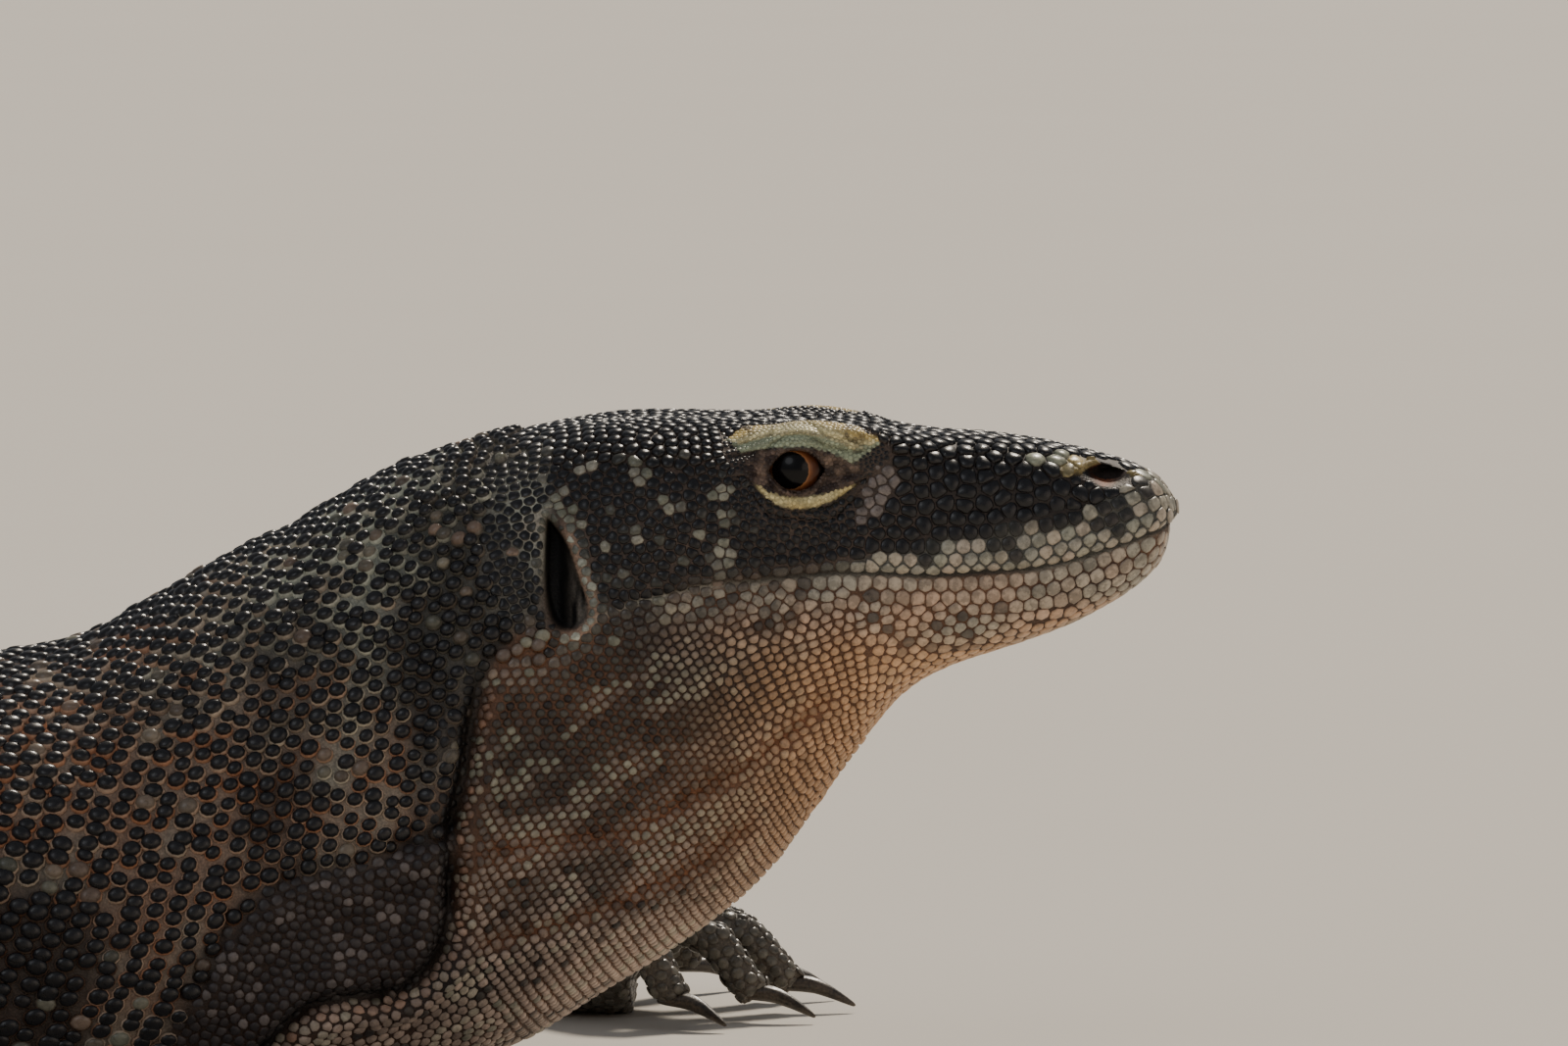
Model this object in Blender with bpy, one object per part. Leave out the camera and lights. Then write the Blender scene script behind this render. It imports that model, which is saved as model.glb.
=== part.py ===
"""A life-size komodo dragon lying on its belly with its head raised.

The animal faces +X with its right side towards -Y, and the centre of its belly is at the origin.
The body is one loft from snout to tail tip, parted by thin cuts; the limbs are tubes that end at its flank.
"""
from collections import namedtuple
from math import cos, pi, radians, sin

import bmesh
import bpy
from mathutils import Matrix, Vector

GAP = 0.0003            # clearance between neighbouring pieces
CUTTER_MARGIN = 0.02    # how far a cutter runs past what it cuts
SHARP_ANGLE = radians(50)

SNOUT_A = 0.80          # distance of the snout tip ahead of the belly centre
VENT_A = -0.46          # where the tail begins
TAIL_LENGTH = 1.25
TAIL_STATIONS = 10
TAIL_BASE_HEIGHT = 0.128
TAIL_TIP_HEIGHT = 0.010
TAIL_BASE_HALF_WIDTH = 0.066
TAIL_TIP_HALF_WIDTH = 0.0045
TAIL_HEIGHT_TAPER = 1.15     # above 1, the tail thins faster near its base
TAIL_WIDTH_TAPER = 1.75

# The half outline of a cross-section, from the middle of the top round to the middle of the underside.
# Each pair is (part of the half width, part of the height).
SECTIONS = {
    "tip": ((0, 1), (.30, .98), (.55, .92), (.75, .83), (.90, .70), (1, .52),
            (.97, .36), (.80, .18), (.45, .04), (0, 0)),
    "snout": ((0, 1), (.36, 1), (.68, .96), (.86, .87), (.94, .73), (1, .56),
              (1, .40), (.93, .22), (.60, .05), (0, 0)),
    "eye": ((0, .97), (.38, .98), (.74, 1), (.89, .94), (.86, .81), (.96, .65),
            (1, .50), (.92, .30), (.58, .07), (0, 0)),
    "temple": ((0, .99), (.36, 1), (.67, .97), (.87, .90), (.97, .79), (1, .66),
               (.96, .51), (.83, .32), (.52, .10), (0, 0)),
    "nape": ((0, 1), (.34, .98), (.62, .93), (.83, .84), (.96, .72), (1, .58),
             (.97, .42), (.84, .24), (.54, .07), (0, 0)),
    "neck": ((0, 1), (.33, .97), (.61, .90), (.82, .80), (.95, .66), (1, .50),
             (.96, .33), (.81, .17), (.50, .05), (0, 0)),
    "trunk": ((0, 1), (.30, .98), (.57, .92), (.79, .81), (.94, .65), (1, .45),
              (.98, .26), (.90, .10), (.74, 0), (0, 0)),
    "tail": ((0, 1), (.24, .94), (.47, .84), (.71, .69), (.90, .52), (1, .37),
             (.96, .20), (.81, .07), (.55, 0), (0, 0)),
}

# Each station cuts the body on a plane from its top point to its underside point, both on the middle plane.
# a is the distance ahead of the belly centre, measured along the body.
Station = namedtuple("Station", "place top_a top_z under_a under_z half_width section")
STATIONS = [
    Station("snout tip", SNOUT_A, 0.1965, 0.7997, 0.1915, 0.0050, "tip"),
    Station("rostral", 0.7988, 0.2010, 0.7984, 0.1850, 0.0125, "tip"),
    Station("snout front", 0.7953, 0.2035, 0.7953, 0.1770, 0.0190, "tip"),
    Station("nostril front", 0.7888, 0.2068, 0.7888, 0.1700, 0.0238, "snout"),
    Station("nostril", 0.7778, 0.2102, 0.7778, 0.1627, 0.0280, "snout"),
    Station("snout bridge", 0.7622, 0.2135, 0.7638, 0.1555, 0.0312, "snout"),
    Station("mid snout", 0.7434, 0.2165, 0.7466, 0.1495, 0.0340, "snout"),
    Station("canthus", 0.7247, 0.2178, 0.7294, 0.1440, 0.0362, "snout"),
    Station("before the eye", 0.7059, 0.2208, 0.7153, 0.1372, 0.0388, "eye"),
    Station("eye", 0.6841, 0.2236, 0.7038, 0.1240, 0.0425, "eye"),
    Station("behind the eye", 0.6622, 0.2232, 0.6959, 0.1127, 0.0480, "temple"),
    Station("temple", 0.6403, 0.2235, 0.6903, 0.1050, 0.0530, "temple"),
    Station("jaw joint", 0.6184, 0.2230, 0.6834, 0.0950, 0.0565, "temple"),
    Station("ear", 0.5934, 0.2195, 0.6700, 0.0770, 0.0580, "nape"),
    Station("nape", 0.5622, 0.2112, 0.6481, 0.0580, 0.0615, "nape"),
    Station("neck front", 0.5247, 0.1930, 0.6153, 0.0375, 0.0700, "neck"),
    Station("mid neck", 0.4809, 0.1685, 0.5747, 0.0135, 0.0800, "neck"),
    Station("neck root", 0.4300, 0.1460, 0.5200, 0.0000, 0.0930, "neck"),
    Station("shoulder front", 0.3600, 0.1460, 0.4250, 0.0000, 0.1050, "trunk"),
    Station("shoulder", 0.2800, 0.1540, 0.3200, 0.0000, 0.1150, "trunk"),
    Station("chest", 0.1850, 0.1660, 0.2050, 0.0000, 0.1310, "trunk"),
    Station("ribs", 0.0800, 0.1740, 0.0800, 0.0000, 0.1450, "trunk"),
    Station("belly", -0.0500, 0.1760, -0.0500, 0.0000, 0.1480, "trunk"),
    Station("flank", -0.1800, 0.1700, -0.1800, 0.0000, 0.1370, "trunk"),
    Station("loin", -0.2900, 0.1600, -0.2900, 0.0000, 0.1130, "trunk"),
    Station("hip", -0.3800, 0.1480, -0.3800, 0.0000, 0.0900, "trunk"),
]
HEAD_END = 14           # station numbers where the body is parted
HEAD_RINGS = 20
NECK_MIDDLE = 16
NECK_END = 18
TRUNK_MIDDLE = 21
TRUNK_END = 24
TAIL_START = len(STATIONS)

# How far the body's line turns from +X, in degrees, at each distance a. Ahead of the first it is straight.
TURNS = ((0.30, 0), (0.05, 4), (-0.20, 2), (-0.45, -9), (-0.75, -24), (-1.10, -16), (-1.40, 14), (-1.75, 44))
TURN_STEP = 0.01

# The closed mouth, as (a, height) from behind the ear to past the snout tip.
MOUTH_LINE = ((0.50, 0.130), (0.575, 0.151), (0.6075, 0.1605), (0.628, 0.169), (0.650, 0.1738), (0.690, 0.1767),
              (0.722, 0.1752), (0.753, 0.1768), (0.768, 0.180), (0.784, 0.1848), (0.797, 0.1890), (0.83, 0.190))
MOUTH_CUT_HALF_WIDTH = 0.12
MOUTH_CUT_TOP = 0.26

EYE_RADIUS = 0.0105
EYE_CENTRE = (0.6784, 0.0290, 0.2085)
EAR_CENTRE = (0.6035, 0.0590, 0.1780)
EAR_HALF_SIZE = (0.0055, 0.0110, 0.0185)
EAR_LEAN = radians(-12)
NOSTRIL_CENTRE = (0.7769, 0.0265, 0.2055)
NOSTRIL_HALF_SIZE = (0.0070, 0.0060, 0.0033)

# Each limb: its joints from inside the body to the wrist or ankle, the tube's radius at each, and the foot's
# heading in degrees from +X, turned outwards. y is the distance out from the middle.
Limb = namedtuple("Limb", "name side joints radii heading foot")
Foot = namedtuple("Foot", "palm_length palm_half_width palm_height toe_lengths toe_angles toe_radius arch")
FORE_FOOT = Foot(0.052, 0.032, 0.040, (0.046, 0.058, 0.064, 0.062, 0.048), (34, 17, 2, -14, -34), 0.0090, 0.021)
HIND_FOOT = Foot(0.072, 0.030, 0.036, (0.042, 0.058, 0.072, 0.082, 0.056), (26, 14, 2, -12, -38), 0.0090, 0.011)
LIMBS = (
    Limb("fore_left", 1, ((0.370, 0.050, 0.075), (0.402, 0.125, 0.072), (0.448, 0.198, 0.064),
                          (0.518, 0.242, 0.052), (0.572, 0.264, 0.042)),
         (0.040, 0.035, 0.030, 0.029, 0.022), -2, FORE_FOOT),
    Limb("fore_right", -1, ((0.345, 0.050, 0.075), (0.315, 0.125, 0.072), (0.308, 0.188, 0.060),
                            (0.362, 0.222, 0.044), (0.412, 0.232, 0.031)),
         (0.040, 0.035, 0.029, 0.027, 0.020), 6, FORE_FOOT),
    Limb("hind_left", 1, ((-0.365, 0.040, 0.078), (-0.300, 0.120, 0.082), (-0.255, 0.185, 0.068),
                          (-0.330, 0.232, 0.050), (-0.392, 0.252, 0.033)),
         (0.052, 0.046, 0.036, 0.030, 0.021), 40, HIND_FOOT),
    Limb("hind_right", -1, ((-0.365, 0.040, 0.078), (-0.285, 0.120, 0.084), (-0.225, 0.178, 0.070),
                            (-0.285, 0.236, 0.051), (-0.345, 0.262, 0.033)),
         (0.052, 0.046, 0.036, 0.030, 0.021), 34, HIND_FOOT),
)
PALM_SHAPE = ((-0.30, 0.42, 0.50), (-0.12, 0.70, 0.90), (0.30, 0.86, 1.0), (0.70, 1.0, 0.86), (1.0, 0.92, 0.62))
SOLE_PRESS = 1.06       # how much taller the palm is than the space above the floor, which flattens it
LIMB_SIDES = 10
LIMB_RINGS_PER_SPAN = 2
FLOOR_CUT_SIZE = (2.0, 1.2, 0.1)
MIDDLE_JOINT = 2        # the elbow or knee, in a limb's list of joints
JOINT_CAP = ((0.5, 0.80), (0.82, 0.38))     # how the elbow or knee rounds off: (distance, width) in radii
JOINT_START = 0.55      # how much narrower the lower limb starts inside it
TOE_SIDES = 6
TOE_RINGS = 5
TOE_TIP_HEIGHT = 0.0085
TOE_TAPER = 0.72
TOE_STEEPNESS = 1.25    # above 1, a toe's arch peaks nearer its tip and drops to it more steeply
TOE_SWELL = 0.10        # how much thicker and thinner a toe grows along its length, in parts of its radius
TOE_SWELLS = 1.4        # how many times it does so
KNUCKLE_BACK = 0.010    # how far the middle toe starts behind the palm's front
KNUCKLE_FAN = 0.012     # how much further back the outer toes start
KNUCKLE_SPREAD = 0.72   # the outer toes' place across the palm, in parts of its half width
KNUCKLE_HEIGHT = 0.36   # the toes' height where they leave the palm, in parts of its height
CLAW_SIDES = 6
CLAW_RINGS = 3
CLAW_LENGTH = 0.021
CLAW_RADIUS = 0.0042
CLAW_TIP_RADIUS = 0.0007
CLAW_TIP_HEIGHT = 0.0022
CLAW_DROP = 1.6         # above 1, a claw leaves its toe level and turns down towards its tip
CLAW_RISE = 0.0018

HIDE_BLACK = (0.045, 0.042, 0.045, 1)
HIDE_BROWN = (0.090, 0.072, 0.058, 1)
HIDE_GREY = (0.105, 0.098, 0.088, 1)
THROAT_TAN = (0.260, 0.190, 0.130, 1)
EYE_BROWN = (0.060, 0.025, 0.012, 1)
CLAW_HORN = (0.055, 0.048, 0.042, 1)


def clear_scene():
    for thing in list(bpy.data.objects):
        bpy.data.objects.remove(thing, do_unlink=True)


def new_collection(name, hidden):
    collection = bpy.data.collections.new(name)
    bpy.context.scene.collection.children.link(collection)
    collection.hide_render = hidden
    return collection


def finish_material(name, colour, roughness):
    material = bpy.data.materials.new(name)
    material.use_nodes = True
    shader = material.node_tree.nodes["Principled BSDF"]
    shader.inputs["Base Color"].default_value = colour
    shader.inputs["Roughness"].default_value = roughness
    shader.inputs["Metallic"].default_value = 0.0
    return material


def between(values, place):
    """A smooth value at a fractional place in a list, level wherever the list turns back."""
    index = min(int(place), len(values) - 2)
    part = place - index

    def slope(i):
        if i <= 0 or i >= len(values) - 1:
            j = min(max(i, 1), len(values) - 1)
            return values[j] - values[j - 1]
        before = values[i] - values[i - 1]
        after = values[i + 1] - values[i]
        return 0.0 if before * after <= 0 else 2 * before * after / (before + after)

    start, end = values[index], values[index + 1]
    square, cube = part * part, part * part * part
    return (start * (2 * cube - 3 * square + 1) + slope(index) * (cube - 2 * square + part)
            + end * (3 * square - 2 * cube) + slope(index + 1) * (cube - square))


def tail_station(number):
    """The tail tapers quickly behind the hips, then evenly, and is flattened from side to side."""
    part = number / TAIL_STATIONS
    height = TAIL_TIP_HEIGHT + (TAIL_BASE_HEIGHT - TAIL_TIP_HEIGHT) * (1 - part) ** TAIL_HEIGHT_TAPER
    width = TAIL_TIP_HALF_WIDTH + (TAIL_BASE_HALF_WIDTH - TAIL_TIP_HALF_WIDTH) * (1 - part) ** TAIL_WIDTH_TAPER
    a = VENT_A - TAIL_LENGTH * part
    return Station("tail", a, height, a, 0.0, width, "tail")


ALL_STATIONS = STATIONS + [tail_station(number) for number in range(TAIL_STATIONS + 1)]


def heading_at(a):
    if a >= TURNS[0][0]:
        return 0.0
    for (ahead, first), (behind, second) in zip(TURNS, TURNS[1:]):
        if a >= behind:
            part = (ahead - a) / (ahead - behind)
            smooth = part * part * (3 - 2 * part)
            return radians(first + (second - first) * smooth)
    return radians(TURNS[-1][1])


def body_line():
    """The middle line seen from above, stepped backwards from where the body first turns."""
    points = [Vector((TURNS[0][0], 0, 0))]
    a = TURNS[0][0]
    while a > TURNS[-1][0]:
        angle = heading_at(a - TURN_STEP / 2)
        points.append(points[-1] - TURN_STEP * Vector((cos(angle), sin(angle), 0)))
        a -= TURN_STEP
    return points


BODY_LINE = body_line()


def bent(a, out, height):
    """Carries a point of the straight body onto the curved one."""
    steps = (TURNS[0][0] - a) / TURN_STEP
    if steps <= 0:
        return Vector((a, out, height))
    index = min(int(steps), len(BODY_LINE) - 2)
    middle = BODY_LINE[index].lerp(BODY_LINE[index + 1], steps - index)
    angle = heading_at(a)
    return middle + Vector((-out * sin(angle), out * cos(angle), height))


def around(half, per_span):
    """Smooth points along a half outline, from top to underside, both ends included."""
    wide = [-half[1][0]] + [pair[0] for pair in half] + [-half[-2][0]]
    high = [half[1][1]] + [pair[1] for pair in half] + [half[-2][1]]
    points = []
    for span in range(1, len(half)):
        for step in range(per_span):
            part = step / per_span
            points.append(tuple(curve_point(line, span, part) for line in (wide, high)))
    points.append((half[-1][0], half[-1][1]))
    return points


def curve_point(line, span, part):
    """A Catmull-Rom curve between line[span] and line[span + 1]."""
    before, start, end, after = line[span - 1:span + 3]
    return start + 0.5 * part * (end - before + part * (2 * before - 5 * start + 4 * end - after
                                                       + part * (3 * (start - end) + after - before)))


def body_ring(place, per_span, shift=0.0):
    """A closed ring of the body at a fractional station number, moved along the body by shift."""
    def value(field):
        return between([getattr(station, field) for station in ALL_STATIONS], place)

    top = Vector((value("top_a"), value("top_z")))
    under = Vector((value("under_a"), value("under_z")))
    up = top - under
    ahead = Vector((up.y, -up.x)).normalized() * shift
    number = min(int(place), len(ALL_STATIONS) - 2)
    blend = place - number
    blend = blend * blend * (3 - 2 * blend)
    first = SECTIONS[ALL_STATIONS[number].section]
    second = SECTIONS[ALL_STATIONS[number + 1].section]
    half = [(w1 + (w2 - w1) * blend, h1 + (h2 - h1) * blend) for (w1, h1), (w2, h2) in zip(first, second)]
    right = []
    for wide, high in around(half, per_span):
        spot = under + up * max(high, 0.0) + ahead
        right.append((spot.x, wide * value("half_width"), max(spot.y, 0.0)))
    left = right[-2:0:-1]
    return [bent(a, -out, z) for a, out, z in right] + [bent(a, out, z) for a, out, z in left]


def loft(name, rings, collection, smooth=True):
    """A closed solid through rings of equal count, from front to back."""
    mesh = bmesh.new()
    loops = [[mesh.verts.new(point) for point in ring] for ring in rings]
    count = len(loops[0])
    for front, back in zip(loops, loops[1:]):
        for i in range(count):
            j = (i + 1) % count
            mesh.faces.new((front[i], front[j], back[j], back[i]))
    mesh.faces.new(reversed(loops[0]))
    mesh.faces.new(loops[-1])
    bmesh.ops.recalc_face_normals(mesh, faces=mesh.faces)
    return add_mesh(name, mesh, collection, smooth)


def add_mesh(name, mesh, collection, smooth=True):
    data = bpy.data.meshes.new(name)
    mesh.to_mesh(data)
    mesh.free()
    if smooth:
        data.shade_smooth()
        data.set_sharp_from_angle(angle=SHARP_ANGLE)
    thing = bpy.data.objects.new(name, data)
    collection.objects.link(thing)
    if collection.hide_render:
        thing.hide_render = True
        thing.display_type = "WIRE"
    return thing


def body_length(name, start, end, count, per_span, collection):
    """A length of the body between two station numbers, half a gap short of each cut."""
    places = [start + (end - start) * i / count for i in range(count + 1)]
    rings = [body_ring(place, per_span) for place in places]
    if start > 0:
        rings[0] = body_ring(start, per_span, -GAP / 2)
    if end < len(ALL_STATIONS) - 1:
        rings[-1] = body_ring(end, per_span, GAP / 2)
    return loft(name, rings, collection)


def cut(thing, cutter, operation="DIFFERENCE", solver="EXACT"):
    modifier = thing.modifiers.new(f"{operation.lower()}_{cutter.name}", "BOOLEAN")
    modifier.operation = operation
    modifier.solver = solver
    modifier.object = cutter


def ellipsoid(name, centre, half_size, lean, segments, collection):
    mesh = bmesh.new()
    bmesh.ops.create_uvsphere(mesh, u_segments=segments, v_segments=segments * 2 // 3, radius=1.0)
    size = Matrix.Diagonal((*half_size, 1))
    place = Matrix.Translation(centre) @ Matrix.Rotation(lean, 4, "Y") @ size
    bmesh.ops.transform(mesh, matrix=place @ Matrix.Rotation(pi / 2, 4, "X"), verts=mesh.verts)
    return add_mesh(name, mesh, collection)


def mouth_cutter(name, side, far_height, collection):
    """Everything above or below the closed mouth, side being +1 above and -1 below."""
    mesh = bmesh.new()
    edge = [(a, z + side * GAP / 2) for a, z in MOUTH_LINE]
    outline = edge + [(MOUTH_LINE[-1][0], far_height), (MOUTH_LINE[0][0], far_height)]
    verts = [mesh.verts.new((a, -MOUTH_CUT_HALF_WIDTH, z)) for a, z in outline]
    face = mesh.faces.new(verts)
    made = bmesh.ops.extrude_face_region(mesh, geom=[face])
    moved = [item for item in made["geom"] if isinstance(item, bmesh.types.BMVert)]
    bmesh.ops.translate(mesh, verts=moved, vec=(0, 2 * MOUTH_CUT_HALF_WIDTH, 0))
    bmesh.ops.recalc_face_normals(mesh, faces=mesh.faces)
    return add_mesh(name, mesh, collection, smooth=False)


def make_head(parts, cutters):
    upper = body_length("head", 0, HEAD_END, HEAD_RINGS, 2, parts)
    jaw = body_length("jaw_and_throat", 0, HEAD_END, HEAD_RINGS, 2, parts)
    cut(upper, mouth_cutter("below_mouth", 1, -CUTTER_MARGIN, cutters))
    cut(jaw, mouth_cutter("above_mouth", -1, MOUTH_CUT_TOP, cutters))
    eyes = []
    for name, side in (("left", 1), ("right", -1)):
        eye_place = (EYE_CENTRE[0], side * EYE_CENTRE[1], EYE_CENTRE[2])
        ear_place = (EAR_CENTRE[0], side * EAR_CENTRE[1], EAR_CENTRE[2])
        nostril_place = (NOSTRIL_CENTRE[0], side * NOSTRIL_CENTRE[1], NOSTRIL_CENTRE[2])
        eyes.append(ellipsoid(f"eye_{name}", eye_place, (EYE_RADIUS,) * 3, 0, 12, parts))
        socket = ellipsoid(f"socket_{name}", eye_place, (EYE_RADIUS + 2 * GAP,) * 3, 0, 12, cutters)
        cut(upper, socket)
        cut(upper, ellipsoid(f"ear_opening_{name}", ear_place, EAR_HALF_SIZE, EAR_LEAN, 9, cutters))
        cut(upper, ellipsoid(f"nostril_{name}", nostril_place, NOSTRIL_HALF_SIZE, 0, 9, cutters))
    return upper, jaw, eyes


def make_body(parts):
    necks = [body_length("neck_front", HEAD_END, NECK_MIDDLE, 4, 2, parts),
             body_length("neck_rear", NECK_MIDDLE, NECK_END, 4, 2, parts)]
    trunks = [body_length("trunk_front", NECK_END, TRUNK_MIDDLE, 6, 2, parts),
              body_length("trunk_rear", TRUNK_MIDDLE, TRUNK_END, 6, 2, parts),
              body_length("hips", TRUNK_END, TAIL_START, 4, 2, parts)]
    tails = []
    for number in range(TAIL_STATIONS // 2):
        start = TAIL_START + 2 * number
        tails.append(body_length(f"tail_{number + 1}", start, start + 2, 6, 1, parts))
    return necks, trunks, tails


def swell(cutter):
    """Grows a cutter all round, so that what it cuts stays clear of the piece it stands for."""
    modifier = cutter.modifiers.new("swell", "DISPLACE")
    modifier.strength = 2 * GAP
    modifier.mid_level = 0.0


def flank_cutter(cutters):
    """The whole body, swollen by the gap, so that a limb ends just clear of it."""
    places = [HEAD_END + i / 2 for i in range(2 * (len(ALL_STATIONS) - HEAD_END) - 1)]
    rings = [body_ring(place, 2) for place in places]
    flank = loft("flank", rings, cutters)
    swell(flank)
    return flank


def floor_cutter(cutters):
    """Everything below the floor the animal lies on."""
    mesh = bmesh.new()
    bmesh.ops.create_cube(mesh, size=1.0)
    bmesh.ops.transform(mesh, matrix=Matrix.Diagonal((*FLOOR_CUT_SIZE, 1)), verts=mesh.verts)
    bmesh.ops.translate(mesh, verts=mesh.verts, vec=(0, 0, -FLOOR_CUT_SIZE[2] / 2))
    return add_mesh("floor", mesh, cutters, smooth=False)


def tube_ring(middle, ahead, radius, sides, flatten=1.0):
    """A ring square to the tube's line; flatten below 1 makes it lower than it is wide."""
    across = Vector((-ahead.y, ahead.x, 0)).normalized()
    up = ahead.cross(across).normalized()
    return [middle + radius * (cos(2 * pi * i / sides) * across + flatten * sin(2 * pi * i / sides) * up)
            for i in range(sides)]


def tube_rings(line, radii, sides, flatten=1.0):
    rings = []
    for i, middle in enumerate(line):
        ahead = (line[min(i + 1, len(line) - 1)] - line[max(i - 1, 0)]).normalized()
        rings.append(tube_ring(middle, ahead, radii[i], sides, flatten))
    return rings


def limb_line(limb, first, last):
    """A smooth line through some of a limb's joints, with the radius at each point."""
    root = limb.joints[0][0]
    turn = Matrix.Rotation(heading_at(root), 3, "Z")
    joints = [bent(root, 0, 0) + turn @ Vector((a - root, limb.side * out, z))
              for a, out, z in limb.joints[first:last + 1]]
    columns = [[joint[axis] for joint in joints] for axis in range(3)]
    padded = [[2 * column[0] - column[1]] + column + [2 * column[-1] - column[-2]] for column in columns]
    line, radii = [], []
    for i in range((last - first) * LIMB_RINGS_PER_SPAN + 1):
        place = i / LIMB_RINGS_PER_SPAN
        span = min(int(place), len(joints) - 2)
        line.append(Vector([curve_point(column, span + 1, place - span) for column in padded]))
        radii.append(between(limb.radii, first + place))
    return line, radii


def make_limb(limb, parts, cutters, flank, floor):
    """The two lengths of a limb, and the rings and place of its wrist or ankle.

    The upper length ends in a rounded elbow or knee, and the lower one grows out of it.
    """
    names = ("upper_arm", "forearm") if limb.name.startswith("fore") else ("thigh", "shank")
    side = limb.name.split("_")[1]
    line, radii = limb_line(limb, 0, MIDDLE_JOINT)
    ahead = (line[-1] - line[-2]).normalized()
    for along, across in JOINT_CAP:
        line.append(line[2 * LIMB_RINGS_PER_SPAN] + ahead * radii[2 * LIMB_RINGS_PER_SPAN] * along)
        radii.append(radii[2 * LIMB_RINGS_PER_SPAN] * across)
    rings = tube_rings(line, radii, LIMB_SIDES)
    upper = loft(f"{names[0]}_{side}", rings, parts)
    swollen = loft(f"joint_{limb.name}", rings, cutters)
    swell(swollen)

    line, radii = limb_line(limb, MIDDLE_JOINT, len(limb.joints) - 1)
    radii[0] *= JOINT_START
    rings = tube_rings(line, radii, LIMB_SIDES)
    ankle = len(line) - 2
    step = (line[ankle + 1] - line[ankle - 1]).normalized() * GAP / 2
    lower_end = [point - step for point in rings[ankle]]
    wrist_start = [point + step for point in rings[ankle]]
    lower = loft(f"{names[1]}_{side}", rings[:ankle] + [lower_end], parts)
    cut(upper, flank)
    cut(upper, floor)
    cut(lower, swollen)
    cut(lower, floor)
    return [upper, lower], [wrist_start] + rings[ankle + 1:], line[-1]


def palm_rings(foot, wrist, ahead, across, grow=0.0):
    """The palm or sole widens from the heel and thins towards the toes; grow makes it larger all round."""
    rings = []
    for part, wide, high in PALM_SHAPE:
        middle = wrist + ahead * (foot.palm_length * part + (grow if part > 0 else -grow))
        middle.z = foot.palm_height * high / 2
        half_width = foot.palm_half_width * wide + grow
        half_height = foot.palm_height * high / 2 * SOLE_PRESS + grow
        ring = [middle + across * half_width * cos(2 * pi * i / LIMB_SIDES)
                + Vector((0, 0, half_height * sin(2 * pi * i / LIMB_SIDES)))
                for i in range(LIMB_SIDES)]
        rings.append(ring)
    return rings


def toe_line(foot, number, knuckle, ahead, side):
    """An arched toe from inside the palm down to its tip, with its radius at each point."""
    angle = radians(foot.toe_angles[number]) * side
    way = Matrix.Rotation(angle, 3, "Z") @ ahead
    line, radii = [], []
    for i in range(TOE_RINGS):
        part = i / (TOE_RINGS - 1)
        height = knuckle.z + (TOE_TIP_HEIGHT - knuckle.z) * part + foot.arch * sin(pi * part ** TOE_STEEPNESS)
        spot = knuckle + way * foot.toe_lengths[number] * part
        line.append(Vector((spot.x, spot.y, height)))
        knob = 1 + TOE_SWELL * sin(2 * pi * part * TOE_SWELLS)
        radii.append(foot.toe_radius * (1 - (1 - TOE_TAPER) * part) * knob)
    return line, radii


def claw_rings(tip, way):
    """A curved claw that grows on from the toe and points down, ending just above the floor."""
    line, radii = [], []
    level = Vector((way.x, way.y, 0)).normalized()
    start = tip + way * GAP
    for i in range(CLAW_RINGS):
        part = i / (CLAW_RINGS - 1)
        spot = start + level * CLAW_LENGTH * part
        spot.z = start.z + (CLAW_TIP_HEIGHT - start.z) * part ** CLAW_DROP + CLAW_RISE * sin(pi * part)
        line.append(spot)
        radii.append(CLAW_RADIUS + (CLAW_TIP_RADIUS - CLAW_RADIUS) * part)
    rings = tube_rings(line, radii, CLAW_SIDES)
    rings[0] = tube_ring(start, way, CLAW_RADIUS, CLAW_SIDES)
    return rings


def make_foot(limb, lower, wrist_rings, wrist, parts, cutters, floor):
    """The palm with the wrist or ankle and the five toes joined to it, and the claws as pieces of their own."""
    foot = limb.foot
    angle = radians(limb.heading) * limb.side
    ahead = Vector((cos(angle), sin(angle), 0))
    across = Vector((-ahead.y, ahead.x, 0))
    side = limb.name.split("_")[1]
    kind = "hand" if limb.name.startswith("fore") else "foot"
    palm = loft(f"{kind}_{side}", palm_rings(foot, wrist, ahead, across), parts)
    cut(palm, loft(f"wrist_{limb.name}", wrist_rings, cutters), "UNION", "MANIFOLD")
    rest = loft(f"rest_{limb.name}", palm_rings(foot, wrist, ahead, across, 2 * GAP), cutters)
    cut(lower, rest)
    claws = []
    middle_toe = (len(foot.toe_lengths) - 1) / 2
    for number in range(len(foot.toe_lengths)):
        spread = (number / middle_toe - 1) * limb.side
        back = KNUCKLE_BACK + KNUCKLE_FAN * spread ** 2
        out = spread * foot.palm_half_width * KNUCKLE_SPREAD
        knuckle = wrist + ahead * (foot.palm_length - back) + across * out
        knuckle.z = foot.palm_height * KNUCKLE_HEIGHT
        line, radii = toe_line(foot, number, knuckle, ahead, -limb.side)
        toe = loft(f"toe_{limb.name}_{number + 1}", tube_rings(line, radii, TOE_SIDES), cutters)
        cut(palm, toe, "UNION", "MANIFOLD")
        way = (line[-1] - line[-2]).normalized()
        claws.append(loft(f"claw_{limb.name}_{number + 1}", claw_rings(line[-1], way), parts))
    cut(palm, floor)
    return palm, claws


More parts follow.
